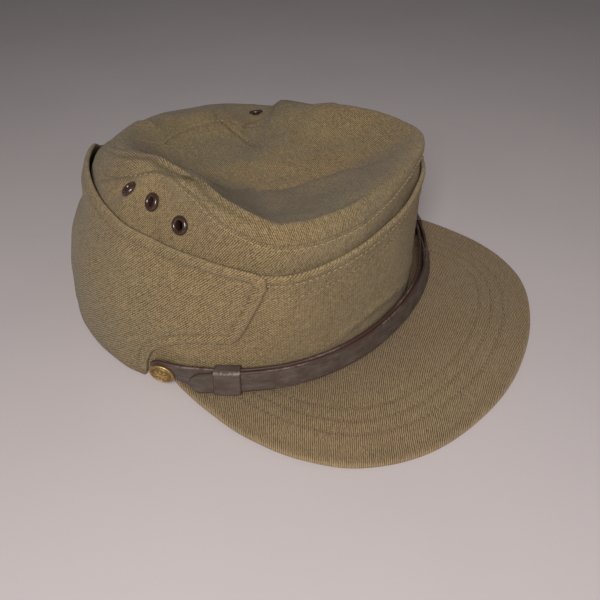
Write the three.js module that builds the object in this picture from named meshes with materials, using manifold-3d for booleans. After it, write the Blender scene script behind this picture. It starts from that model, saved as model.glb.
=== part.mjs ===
// A soft cotton field cap: crown, front band, turned-up neck flap, stiff peak,
// two-layer leather chin strap with keepers and buttons, and metal eyelets.
// Millimetres, +Z up. The wearer faces -Y, so the wearer's right is -X.
// The rim lies flat on z = 0 and the origin is under the middle of the cap's box.
// Angles are in degrees round the crown's axis: 0 is the front, 90 the wearer's left.

import * as THREE from 'three';
import { mergeVertices } from 'three/addons/utils/BufferGeometryUtils.js';
import Module from 'manifold-3d';

// Driving dimensions
const FOOT_HALF_WIDTH = 92;
const FOOT_FRONT = 86;
const FOOT_BACK = 95;
const CLOTH = 1.8;
const GAP = 0.35;
const TIP_CENTRE_HEIGHT = 62;
const WALL_TURN_SHARE = 0.86;
const SEAM_GAP = 0.03;
const TIP_CENTRE_STATION = 4;

const BAND_END = 80;
const BAND_FOOT = 0.8;

const PEAK_HALF_WIDTH = 92.6;
const PEAK_WIDEST_Y = -74;
const PEAK_LENGTH = 76;
const PEAK_BACK_LENGTH = 110;
const PEAK_SKEW = 2.5;
const PEAK_SWEEP = 111;
const PEAK_ROOT_SWEEP = 68;
const PEAK_THICKNESS = 2.6;
const PEAK_ROOT_HEIGHT = 2.9;
const PEAK_EDGE_HEIGHT = 4;
const PEAK_ARCH = 4.2;
const PEAK_ROUNDING = 0.8;

const STRAP_WIDTH = 9.8;
const STRAP_THICKNESS = 1.4;
const STRAP_HEIGHT = 11;
const STRAP_END = 74.7;
const STRAP_OUTER_END = 63.5;
const STRAP_STANDOFF = 3;
const STRAP_LEAN = 0.3;
const STRAP_END_LEAN = -0.1;
const STRAP_TWIST_START = 61;
const STRAP_TWIST_END = 71;
const STRAP_STANDOFF_ANGLE = 34;
const STRAP_STANDOFF_SPREAD = 22;
const KEEPER_ANGLE = 53.5;
const KEEPER_LENGTH = 10.5;
const KEEPER_THICKNESS = 0.9;

const BUTTON_ANGLE = 71.2;
const BUTTON_DIAMETER = 12.4;
const BUTTON_HEIGHT = 2.5;
const BUTTON_SHANK = 4;
const BUTTON_RIM = 1.2;
const BUTTON_BORE = 8;

const EYELET_DIAMETER = 8;
const EYELET_HOLE = 3.8;
const EYELET_ROLL = 1.5;
const EYELET_LIFT = 0.3;
const EYELET_METAL = 0.7;
const EYELET_BEHIND = 0.5;
const EYELET_EDGE = 1.2;

const SEGMENTS_ROUND = 54;
const SEGMENTS_EYELET = 12;
const SEGMENTS_BUTTON = 20;

// A table as a list of rows with named columns.
function rowsOf(names, ...rows) {
  return rows.map((row) => Object.fromEntries(names.map((name, i) => [name, row[i]])));
}

// How the crown folds over, a row for each direction round it. The wall climbs to the
// shoulder, turns in to the rim, then sags to the dip ring and the centre.
// bend is the power by which the wall leans in: 1 is straight, 2 is a full curve.
// footDent is how far the foot of the wall is pushed in there. seam is the station at
// which the tip is sewn to the wall: outside the rim at the front, inside it at the back.
const CROWN_ROWS = rowsOf(
  [
    'angle', 'bend', 'footDent', 'shoulderRadius', 'shoulderHeight',
    'rimRadius', 'rimHeight', 'dipRadius', 'dipHeight', 'seam',
  ],
  [-160, 2.2, 0, 80, 60, 64, 69, 34, 60, 2.6],
  [-135, 2.2, 0, 74, 65, 60.5, 76, 30, 61, 1.7],
  [-115, 2.1, 0, 70, 71, 54.5, 82, 25, 61.5, 1.14],
  [-95, 2.0, 0, 63.5, 81, 50.5, 85, 22, 61.5, 1.16],
  [-80, 2.0, 0, 58.5, 85.5, 52.5, 87, 22, 61, 1.15],
  [-65, 1.9, 0, 66, 84, 56, 86.5, 24, 60.5, 1.12],
  [-50, 1.6, 0, 80, 77, 71, 85, 22, 60.5, 1.2],
  [-36, 1.2, 0, 88.5, 71, 83.5, 82, 22, 60, 1.36],
  [-18, 1.1, 0, 85, 70, 81.5, 81, 25, 60, 1.32],
  [0, 1.1, 0.5, 81.5, 69, 78.5, 80.5, 29, 60.5, 1.42],
  [18, 1.1, 1.5, 81, 69, 80, 80, 35, 61.5, 1.58],
  [36, 1.1, 2.5, 84.5, 69, 85, 79.5, 52, 67, 1.7],
  [50, 1.5, 1.5, 79.5, 71, 77, 79, 50, 68.5, 1.75],
  [65, 1.9, 0, 70, 74, 63.5, 78.5, 40, 68, 1.75],
  [80, 2.0, 0, 62, 74, 54, 77, 33, 67, 1.75],
  [95, 2.1, 0, 61, 70, 51, 73, 30, 65, 1.75],
  [117, 2.2, 0, 67.5, 66, 49, 66.5, 29, 62, 1.8],
  [123, 2.2, 0, 71.5, 60, 49.5, 60.5, 29, 59.5, 2.0],
  [132, 2.2, 0, 75, 58.5, 51, 59.5, 30, 58, 2.35],
  [150, 2.2, 0, 79, 58.5, 57, 64, 34, 59.5, 2.45],
  [175, 2.2, 0, 82, 58, 64, 68, 36, 60, 2.6],
);

// The front band's free top edge.
const BAND_ROWS = rowsOf(
  ['angle', 'height'],
  [-80, 62],
  [-36, 64],
  [0, 66],
  [36, 66],
  [80, 60],
);

// The turned-up neck flap, by the angle from the front: its lower edge, its top edge on
// either side, and how far its inner face stands off the crown at the fold, half way up
// and along the top edge.
const FLAP_ROWS = rowsOf(
  ['angle', 'lower', 'topRight', 'topLeft', 'foot', 'middle', 'top'],
  [42, 58.5, 63.5, 63, 2.8, 2.8, 2.8],
  [44, 51, 65.5, 65.5, 2.8, 2.8, 2.8],
  [52, 30, 66, 66, 2.8, 2.8, 2.8],
  [60, 28.8, 66, 65, 2.8, 2.8, 2.8],
  [67.5, 25.5, 66, 63.5, 2.8, 2.8, 2.8],
  [74.5, 18.5, 66.2, 62, 2.8, 2.8, 2.8],
  [77, 10.5, 66.5, 61, 2.8, 2.8, 2.8],
  [78.5, 1, 66.5, 60.5, 2.8, 2.8, 2.8],
  [84, 0.8, 66.8, 59.5, 3, 2.8, 2.8],
  [100, 0.6, 68, 56, 3.4, 1.8, 1.2],
  [118, 0.6, 69, 50, 3.4, 1.8, 2],
  [138, 0.6, 65, 50, 3.2, 2.4, 4],
  [160, 0.6, 59, 54, 3, 2.8, 2.5],
  [180, 0.6, 57, 57, 2.8, 3, 2.5],
);

// The vent eyelets, by their direction and their station up the section.
const EYELET_ROWS = rowsOf(
  ['name', 'angle', 'station'],
  ['eyelet_right_front', -68.1, 0.858],
  ['eyelet_right_middle', -81.8, 0.888],
  ['eyelet_right_rear', -93.5, 0.945],
  ['eyelet_left_front', 68, 0.92],
  ['eyelet_left_middle', 90, 0.94],
  ['eyelet_left_rear', 130, 1.62],
);

const FINISHES = {
  cloth: { color: 0x85744f, roughness: 0.92, metalness: 0 },
  leather: { color: 0x4a3b30, roughness: 0.55, metalness: 0 },
  brass: { color: 0x9a7a45, roughness: 0.4, metalness: 1 },
  paintedMetal: { color: 0x3b2d26, roughness: 0.4, metalness: 0.3 },
};

const FLAP_BACK = FLAP_ROWS[FLAP_ROWS.length - 1];
const CAP_BACK = FOOT_BACK + FLAP_BACK.middle + CLOTH;
const CROWN_AXIS_Y = (PEAK_LENGTH - PEAK_WIDEST_Y - CAP_BACK) / 2;

const wasm = await Module();
wasm.setup();
const cap = new THREE.Group();

// Interpolation round the crown

function hermite(p0, p1, m0, m1, t) {
  const t2 = t * t;
  const t3 = t2 * t;
  return (2 * t3 - 3 * t2 + 1) * p0 + (t3 - 2 * t2 + t) * m0 + (3 * t2 - 2 * t3) * p1 + (t3 - t2) * m1;
}

// A column of a table at any angle, by a smooth curve through the rows that never
// overshoots them. A closed table runs round the full circle.
function column(rows, name, angle, closed = false) {
  const last = rows.length - 1;
  const row = (i) => {
    if (!closed) return rows[Math.min(Math.max(i, 0), last)];
    const turn = Math.floor(i / rows.length);
    const base = rows[i - turn * rows.length];
    return { ...base, angle: base.angle + 360 * turn };
  };
  let at = angle;
  while (closed && at < rows[0].angle) at += 360;
  while (closed && at >= rows[0].angle + 360) at -= 360;
  if (!closed) at = Math.min(Math.max(at, rows[0].angle), rows[last].angle);
  let i = 0;
  while (i < (closed ? last : last - 1) && row(i + 1).angle <= at) i += 1;
  const grade = (k) => {
    const rise = row(k + 1)[name] - row(k)[name];
    return rise / Math.max(row(k + 1).angle - row(k).angle, 1e-6);
  };
  const slope = (k) => {
    const before = grade(k - 1);
    const after = grade(k);
    return before * after <= 0 ? 0 : (2 * before * after) / (before + after);
  };
  const span = row(i + 1).angle - row(i).angle;
  const t = (at - row(i).angle) / span;
  return hermite(row(i)[name], row(i + 1)[name], slope(i) * span, slope(i + 1) * span, t);
}

const crown = (name, angle) => column(CROWN_ROWS, name, angle, true);

function polar(angle, radius, height) {
  const a = THREE.MathUtils.degToRad(angle);
  return new THREE.Vector3(radius * Math.sin(a), -radius * Math.cos(a) + CROWN_AXIS_Y, height);
}

// The crown's surface

function footRadius(angle) {
  const a = THREE.MathUtils.degToRad(angle);
  const length = Math.cos(a) > 0 ? FOOT_FRONT : FOOT_BACK;
  return 1 / Math.hypot(Math.sin(a) / FOOT_HALF_WIDTH, Math.cos(a) / length) - crown('footDent', angle);
}

function wallRadius(angle, height) {
  const rise = Math.max(height, 0) / crown('shoulderHeight', angle);
  const foot = footRadius(angle);
  return foot + (crown('shoulderRadius', angle) - foot) * rise ** crown('bend', angle);
}

// The section above the shoulder, through the rim and the dip to the middle of the tip.
function topCurve(angle) {
  const shoulderHeight = crown('shoulderHeight', angle);
  const below = WALL_TURN_SHARE * shoulderHeight;
  const dipRadius = crown('dipRadius', angle);
  const dipHeight = crown('dipHeight', angle);
  return new THREE.CatmullRomCurve3([
    new THREE.Vector3(wallRadius(angle, below), 0, below),
    new THREE.Vector3(crown('shoulderRadius', angle), 0, shoulderHeight),
    new THREE.Vector3(crown('rimRadius', angle), 0, crown('rimHeight', angle)),
    new THREE.Vector3(dipRadius, 0, dipHeight),
    new THREE.Vector3(0, 0, TIP_CENTRE_HEIGHT),
    new THREE.Vector3(-dipRadius, 0, dipHeight),
  ], false, 'centripetal');
}

// Stations along a section: 0 to 1 up the wall, 1 to 2 over the rim, 2 to 4 across the tip.
function crownPoint(angle, station) {
  if (station <= 1) {
    const height = station * crown('shoulderHeight', angle);
    return polar(angle, wallRadius(angle, height), height);
  }
  const p = topCurve(angle).getPoint(station / 5);
  return polar(angle, p.x, p.z);
}

function crownNormal(angle, station) {
  const step = 0.02;
  const after = crownPoint(angle, Math.min(station + step, 4 - step));
  const along = after.sub(crownPoint(angle, Math.max(station - step, 0)));
  const round = crownPoint(angle + 1, station).sub(crownPoint(angle - 1, station));
  return round.cross(along).normalize();
}

// Solids from grids of points

// A closed solid between an outer and an inner grid with the same rows and columns.
// A looped grid joins its last column to its first.
function gridSolid(outer, inner, looped = false) {
  const rows = outer.length;
  const cols = outer[0].length;
  const positions = [...outer.flat(), ...inner.flat()].flatMap((p) => [p.x, p.y, p.z]);
  const index = [];
  const at = (side, r, c) => side * rows * cols + r * cols + (c % cols);
  const quad = (a, b, c, d) => index.push(a, b, c, a, c, d);
  const spans = looped ? cols : cols - 1;
  for (let c = 0; c < spans; c += 1) {
    for (let r = 0; r < rows - 1; r += 1) {
      quad(at(0, r, c), at(0, r, c + 1), at(0, r + 1, c + 1), at(0, r + 1, c));
      quad(at(1, r, c), at(1, r + 1, c), at(1, r + 1, c + 1), at(1, r, c + 1));
    }
    quad(at(0, 0, c), at(1, 0, c), at(1, 0, c + 1), at(0, 0, c + 1));
    quad(at(0, rows - 1, c), at(0, rows - 1, c + 1), at(1, rows - 1, c + 1), at(1, rows - 1, c));
  }
  for (let r = 0; !looped && r < rows - 1; r += 1) {
    const end = cols - 1;
    quad(at(0, r, 0), at(0, r + 1, 0), at(1, r + 1, 0), at(1, r, 0));
    quad(at(0, r, end), at(1, r, end), at(1, r + 1, end), at(0, r + 1, end));
  }
  const geometry = new THREE.BufferGeometry();
  geometry.setAttribute('position', new THREE.Float32BufferAttribute(positions, 3));
  geometry.setIndex(index);
  return mergeVertices(geometry, 1e-4);
}

function steps(from, to, count) {
  return Array.from({ length: count + 1 }, (_, i) => from + ((to - from) * i) / count);
}

function addMesh(name, geometry, finish) {
  const shaded = geometry.clone();
  shaded.computeVertexNormals();
  const mesh = new THREE.Mesh(shaded, new THREE.MeshStandardMaterial(FINISHES[finish]));
  mesh.name = name;
  cap.add(mesh);
}

function manifold(geometry) {
  const bare = geometry.clone();
  bare.deleteAttribute('normal');
  bare.deleteAttribute('uv');
  const merged = mergeVertices(bare, 1e-4);
  const kept = [];
  for (let i = 0; i < merged.index.count; i += 3) {
    const [a, b, c] = [0, 1, 2].map((k) => merged.index.getX(i + k));
    if (a !== b && b !== c && c !== a) kept.push(a, b, c);
  }
  return new wasm.Manifold(new wasm.Mesh({
    numProp: 3,
    vertProperties: new Float32Array(merged.attributes.position.array),
    triVerts: new Uint32Array(kept),
  }));
}

function geometryOf(solid) {
  const mesh = solid.getMesh();
  const geometry = new THREE.BufferGeometry();
  geometry.setAttribute('position', new THREE.Float32BufferAttribute(mesh.vertProperties, 3));
  geometry.setIndex(Array.from(mesh.triVerts));
  return geometry;
}

// A turned piece standing on a point of a surface, its axis along the surface's normal.
function turned(profile, segments, point, normal) {
  const outline = profile.map(([radius, height]) => new THREE.Vector2(radius, height));
  const geometry = new THREE.LatheGeometry(outline, segments);
  geometry.applyQuaternion(new THREE.Quaternion().setFromUnitVectors(new THREE.Vector3(0, 1, 0), normal));
  geometry.translate(point.x, point.y, point.z);
  return geometry;
}

// Eyelets: a rolled ring with a neck through the cloth and a flange behind it.
function eyeletSeat({ angle, station }) {
  return { point: crownPoint(angle, station), normal: crownNormal(angle, station) };
}

function eyeletProfile(spread) {
  const hole = EYELET_HOLE / 2 - spread;
  const neck = EYELET_HOLE / 2 + EYELET_METAL + spread;
  const flange = EYELET_DIAMETER / 2 + spread;
  const clench = flange - EYELET_EDGE;
  const face = EYELET_LIFT - spread;
  const back = -CLOTH - EYELET_BEHIND + spread;
  const top = face + EYELET_ROLL + 2 * spread;
  const bottom = back - EYELET_METAL - 2 * spread;
  return [
    [hole, bottom], [clench, bottom], [clench, back], [neck, back], [neck, face],
    [flange, face], [flange, face + EYELET_ROLL / 2], [clench, top], [hole + EYELET_EDGE, top],
    [hole, top - EYELET_ROLL / 2], [hole, bottom],
  ];
}

// A plug a little larger than the eyelet, taken out of the cloth to leave its clearance.
function eyeletPlug({ point, normal }) {
  const profile = eyeletProfile(GAP).filter(([radius]) => radius > EYELET_HOLE / 2);
  const solid = [[0, profile[0][1]], ...profile, [0, profile[profile.length - 1][1]]];
  return manifold(turned(solid, SEGMENTS_EYELET, point, normal));
}

// Crown

// Outer and inner points of the cloth. Each row is a station, given its direction's seam.
function crownGrids(rows) {
  const angles = steps(0, 360, SEGMENTS_ROUND).slice(0, -1);
  const grid = (depth) => rows.map((row) => angles.map((a) => {
    const s = row(crown('seam', a));
    return crownPoint(a, s).addScaledVector(crownNormal(a, s), -depth);
  }));
  return { outer: grid(0), inner: grid(CLOTH) };
}

function buildCrownSide() {
  const wall = [0, 0.35, 0.62, 0.83, 1].map((s) => () => s);
  const turn = [0.3, 0.55, 0.78, 1].map((t) => (seam) => 1 + (seam - SEAM_GAP - 1) * t);
  const { outer, inner } = crownGrids([...wall, ...turn]);
  inner[0].forEach((p) => p.setZ(0));
  let side = manifold(gridSolid(outer, inner, true));
  for (const row of EYELET_ROWS) side = side.subtract(eyeletPlug(eyeletSeat(row)));
  addMesh('crown_side', geometryOf(side), 'cloth');
}

// The tip is a dished sheet that closes on its middle.
function buildCrownTip() {
  const shares = [0, 0.15, 0.3, 0.42, 0.55, 0.7, 0.85];
  const rows = shares.map((t) => (seam) => THREE.MathUtils.lerp(seam + SEAM_GAP, TIP_CENTRE_STATION, t));
  const { outer, inner } = crownGrids(rows);
  outer.push(outer[0].map(() => polar(0, 0, TIP_CENTRE_HEIGHT)));
  inner.push(inner[0].map(() => polar(0, 0, TIP_CENTRE_HEIGHT - CLOTH)));
  addMesh('crown_tip', geometryOf(manifold(gridSolid(outer, inner, true))), 'cloth');
}

// A sheet of cloth laid over the wall between two angles. offset gives the height of its
// inner face over the wall.
function wallSheet(angles, shares, lower, upper, offset) {
  const grid = (extra) => shares.map((share) => angles.map((a) => {
    const z = lower(a) + (upper(a) - lower(a)) * share;
    return polar(a, wallRadius(a, z) + offset(a, share) + extra, z);
  }));
  return gridSolid(grid(CLOTH), grid(0));
}

function buildFrontBand() {
  const upper = (a) => column(BAND_ROWS, 'height', a);
  const angles = steps(-BAND_END, BAND_END, 36);
  const sheet = wallSheet(angles, steps(0, 1, 4), () => BAND_FOOT, upper, () => GAP);
  addMesh('front_band', sheet, 'cloth');
}

function buildNeckFlap() {
  const half = [42, 43, 44, 47, 52, 57, 62, 67.5, 71, 74.5, 77, 78.5, ...steps(84, 174, 11)];
  const angles = [...half, 180, ...half.map((a) => 360 - a).reverse()];
  const mirrored = (a) => Math.min(a, 360 - a);
  const flap = (name, a) => column(FLAP_ROWS, name, mirrored(a));
  const offset = (a, share) => {
    const bow = 4 * share * (1 - share);
    const edge = flap('foot', a) * (1 - share) + flap('top', a) * share;
    return edge + (flap('middle', a) - (flap('foot', a) + flap('top', a)) / 2) * bow;
  };
  const upper = (a) => flap(a < 180 ? 'topLeft' : 'topRight', a);
  const sheet = wallSheet(angles, steps(0, 1, 4), (a) => flap('lower', a), upper, offset);
  addMesh('neck_flap', sheet, 'cloth');
}

// Peak: a stiff sheet from the foot of the band out to its rounded edge.
function peakEdge(u) {
  const a = THREE.MathUtils.degToRad(u * PEAK_SWEEP);
  const length = Math.cos(a) > 0 ? PEAK_LENGTH : PEAK_BACK_LENGTH;
  const y = PEAK_WIDEST_Y - length * Math.cos(a) + CROWN_AXIS_Y;
  return new THREE.Vector3(PEAK_HALF_WIDTH * Math.sin(a) + PEAK_SKEW, y, PEAK_EDGE_HEIGHT);
}

function buildPeak() {
  const us = steps(-1, 1, 40);
  const vs = [1, 0.97, 0.85, 0.65, 0.45, 0.25, 0];
  const root = (u) => {
    const a = u * PEAK_ROOT_SWEEP;
    return polar(a, wallRadius(a, 0) + 2 * GAP + CLOTH, PEAK_ROOT_HEIGHT);
  };
  const surface = (drop) => vs.map((v) => us.map((u) => {
    const p = root(u).lerp(peakEdge(u), v);
    const arch = PEAK_ARCH * (4 * v * (1 - v)) ** 2 * Math.cos((u * Math.PI) / 2) ** 2;
    const rounding = v === 1 ? PEAK_ROUNDING : 0;
    p.z += arch - (drop ? PEAK_THICKNESS - rounding : rounding);
    return p;
  }));
  addMesh('peak', gridSolid(surface(false), surface(true)), 'cloth');
}

// Chin strap

function strapStandoff(angle) {
  return STRAP_STANDOFF * Math.exp(-(((angle - STRAP_STANDOFF_ANGLE) / STRAP_STANDOFF_SPREAD) ** 2));
}

// How far the strap leans in towards its top edge: it twists upright near its ends.
function strapLean(angle) {
  const twist = THREE.MathUtils.smoothstep(Math.abs(angle), STRAP_TWIST_START, STRAP_TWIST_END);
  return THREE.MathUtils.lerp(STRAP_LEAN, STRAP_END_LEAN, twist);
}

// The inner face of a strap layer over the wall, with room for a keeper behind it.
function strapRadius(angle, height, layer) {
  const behind = CLOTH + 3 * GAP + KEEPER_THICKNESS + STRAP_LEAN * STRAP_WIDTH / 2;
  const lift = behind + layer * (STRAP_THICKNESS + GAP) - strapLean(angle) * (height - STRAP_HEIGHT);
  return wallRadius(angle, STRAP_HEIGHT) + lift + strapStandoff(angle);
}

function strapLayer(end, layer) {
  const roundAngle = THREE.MathUtils.radToDeg(STRAP_WIDTH / 2 / FOOT_FRONT);
  const inward = [0.02, 0.35, 0.7, 1].map((t) => end - roundAngle * t);
  const middle = steps(-inward[3], inward[3], 44);
  const angles = [...inward.slice(0, 3).map((a) => -a), ...middle, ...inward.slice(0, 3).reverse()];
  const half = (a) => {
    const past = Math.max(0, (Math.abs(a) - (end - roundAngle)) / roundAngle);
    return (STRAP_WIDTH / 2) * Math.sqrt(Math.max(1 - past * past, 0.02));
  };
  const grid = (extra) => [-1, 0, 1].map((side) => angles.map((a) => {
    const z = STRAP_HEIGHT + side * half(a);
    return polar(a, strapRadius(a, z, layer) + extra, z);
  }));
  return gridSolid(grid(STRAP_THICKNESS), grid(0));
}

function buttonSeat(side) {
  const angle = side * BUTTON_ANGLE;
  const radius = strapRadius(angle, STRAP_HEIGHT, 0) + STRAP_THICKNESS + GAP;
  const normal = polar(angle, 1, strapLean(angle)).sub(polar(angle, 0, 0)).normalize();
  return { point: polar(angle, radius, STRAP_HEIGHT), normal };
}

// Domed button with a rolled rim and a shank through the strap.
function buildButton(name, side) {
  const { point, normal } = buttonSeat(side);
  const radius = BUTTON_DIAMETER / 2;
  const shank = BUTTON_SHANK / 2;
  const depth = -(STRAP_THICKNESS + 2 * GAP + KEEPER_THICKNESS + STRAP_LEAN * STRAP_WIDTH / 2);
  const dome = steps(1, 0, 5).map((t) => {
    return [(radius - BUTTON_RIM / 2) * t, BUTTON_RIM + (BUTTON_HEIGHT - BUTTON_RIM) * Math.sqrt(1 - t * t)];
  });
  const profile = [
    [0, depth], [shank, depth], [shank, 0], [radius - BUTTON_RIM / 3, 0],
    [radius, BUTTON_RIM / 2], [radius - BUTTON_RIM / 4, BUTTON_RIM], ...dome,
  ];
  addMesh(name, turned(profile, SEGMENTS_BUTTON, point, normal), 'brass');
}

function buildStraps() {
  let inner = manifold(strapLayer(STRAP_END, 0));
  for (const side of [-1, 1]) {
    const { point, normal } = buttonSeat(side);
    const hole = BUTTON_SHANK / 2 + GAP;
    const reach = BUTTON_BORE / 2;
    const bore = [[0, -reach], [hole, -reach], [hole, reach], [0, reach]];
    inner = inner.subtract(manifold(turned(bore, SEGMENTS_BUTTON, point, normal)));
  }
  addMesh('strap_inner', geometryOf(inner), 'leather');
  addMesh('strap_outer', strapLayer(STRAP_OUTER_END, 1), 'leather');
}

// A keeper is a flat leather loop round both layers.
function buildKeeper(name, side) {
  const angle = side * KEEPER_ANGLE;
  const reach = THREE.MathUtils.radToDeg(KEEPER_LENGTH / 2 / FOOT_FRONT);
  const angles = steps(angle - reach, angle + reach, 4);
  const loop = (spread) => {
    const inside = strapRadius(angle, STRAP_HEIGHT, 0) - GAP - spread;
    const outside = strapRadius(angle, STRAP_HEIGHT, 1) + STRAP_THICKNESS + GAP + spread;
    const half = STRAP_WIDTH / 2 + GAP + spread;
    const corners = [[inside, -half], [inside, half], [outside, half], [outside, -half]];
    return angles.map((a) => corners.map(([radius, rise]) => {
      const shift = strapRadius(a, STRAP_HEIGHT + rise, 0) - strapRadius(angle, STRAP_HEIGHT, 0);
      return polar(a, radius + shift, STRAP_HEIGHT + rise);
    }));
  };
  addMesh(name, gridSolid(loop(KEEPER_THICKNESS), loop(0), true), 'leather');
}

buildCrownSide();
buildCrownTip();
buildFrontBand();
buildNeckFlap();
buildPeak();
buildStraps();
buildKeeper('keeper_right', -1);
buildKeeper('keeper_left', 1);
buildButton('button_right', -1);
buildButton('button_left', 1);
for (const row of EYELET_ROWS) {
  const { point, normal } = eyeletSeat(row);
  const ring = turned(eyeletProfile(0), SEGMENTS_EYELET, point, normal);
  addMesh(row.name, geometryOf(manifold(ring)), 'paintedMetal');
}

export default cap;
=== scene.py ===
"""Looks of a soft cotton field cap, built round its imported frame.

Shapes are worked out in millimetres in the frame's own axes: +Z up, the peak towards -Y and the
wearer's left at +X. Angles are degrees round the crown's axis: 0 is the front and 90 the left.
"""

from __future__ import annotations

import logging
import math
from dataclasses import dataclass, field
from enum import Enum
from typing import Any, Sequence, Union

import bmesh
import bpy
import numpy as np
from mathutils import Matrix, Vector, noise

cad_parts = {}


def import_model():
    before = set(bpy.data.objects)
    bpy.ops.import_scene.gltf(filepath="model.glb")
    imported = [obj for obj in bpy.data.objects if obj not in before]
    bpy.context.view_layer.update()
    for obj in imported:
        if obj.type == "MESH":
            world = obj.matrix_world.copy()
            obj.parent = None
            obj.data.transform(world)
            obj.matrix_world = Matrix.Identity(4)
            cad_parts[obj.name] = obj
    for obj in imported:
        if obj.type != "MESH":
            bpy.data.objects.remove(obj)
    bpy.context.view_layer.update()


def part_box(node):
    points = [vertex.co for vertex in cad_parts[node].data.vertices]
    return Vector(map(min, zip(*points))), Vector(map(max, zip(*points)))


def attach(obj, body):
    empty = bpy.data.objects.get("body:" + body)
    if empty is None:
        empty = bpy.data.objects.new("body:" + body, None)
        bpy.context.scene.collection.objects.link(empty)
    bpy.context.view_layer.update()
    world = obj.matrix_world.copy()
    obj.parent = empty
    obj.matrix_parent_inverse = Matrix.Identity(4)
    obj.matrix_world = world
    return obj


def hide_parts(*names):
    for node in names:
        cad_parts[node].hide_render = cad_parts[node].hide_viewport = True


Array = np.ndarray
Number = Union[int, float]
Colour = tuple[float, float, float]

MM = 0.001
BODY = "root"
WEAVE_MAP = "weave"
TRIM_MAP = "trim"

log = logging.getLogger("field_cap")


class Side(Enum):
    """The wearer's two sides, with the sign of their angles."""

    RIGHT = -1
    LEFT = 1


class FoldShape(Enum):
    """How the cloth runs across a fold."""

    RIDGE = "ridge"
    CREASE = "crease"
    LEDGE = "ledge"


# Shader building


class Socket:
    """A shader value that can be used in Python expressions."""

    def __init__(self, shader: Shader, socket: bpy.types.NodeSocket) -> None:
        """Wraps one output socket of a shader's node."""
        self.shader = shader
        self.socket = socket

    def _math(self, operation: str, first: Operand, second: Operand) -> Socket:
        """Adds a Math node and returns its value."""
        return self.shader.make("Math", {"operation": operation}, {0: first, 1: second})

    def __add__(self, other: Operand) -> Socket:
        """Sum."""
        return self._math("ADD", self, other)

    def __radd__(self, other: Operand) -> Socket:
        """Sum, reflected."""
        return self._math("ADD", other, self)

    def __sub__(self, other: Operand) -> Socket:
        """Difference."""
        return self._math("SUBTRACT", self, other)

    def __rsub__(self, other: Operand) -> Socket:
        """Difference, reflected."""
        return self._math("SUBTRACT", other, self)

    def __mul__(self, other: Operand) -> Socket:
        """Product."""
        return self._math("MULTIPLY", self, other)

    def __truediv__(self, other: Operand) -> Socket:
        """Quotient."""
        return self._math("DIVIDE", self, other)

    def floor(self) -> Socket:
        """The whole number below."""
        return self._math("FLOOR", self, 0.0)

    def wave(self) -> Socket:
        """A smooth wave from 0 to 1, one for each whole number."""
        return self._math("SINE", self * math.tau, 0.0) * 0.5 + 0.5

    def band(self, low: Number, high: Number) -> Socket:
        """A smooth step.

        Args:
            low: value where the step is 0.
            high: value where the step is 1, which may be below low.
        Returns:
            The step, from 0 to 1.
        """
        settings = {"interpolation_type": "SMOOTHSTEP"}
        if low < high:
            return self.shader.make("MapRange", settings, {"Value": self, "From Min": low, "From Max": high})
        return 1.0 - self.band(high, low)


Operand = Union[Socket, Number]


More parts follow.
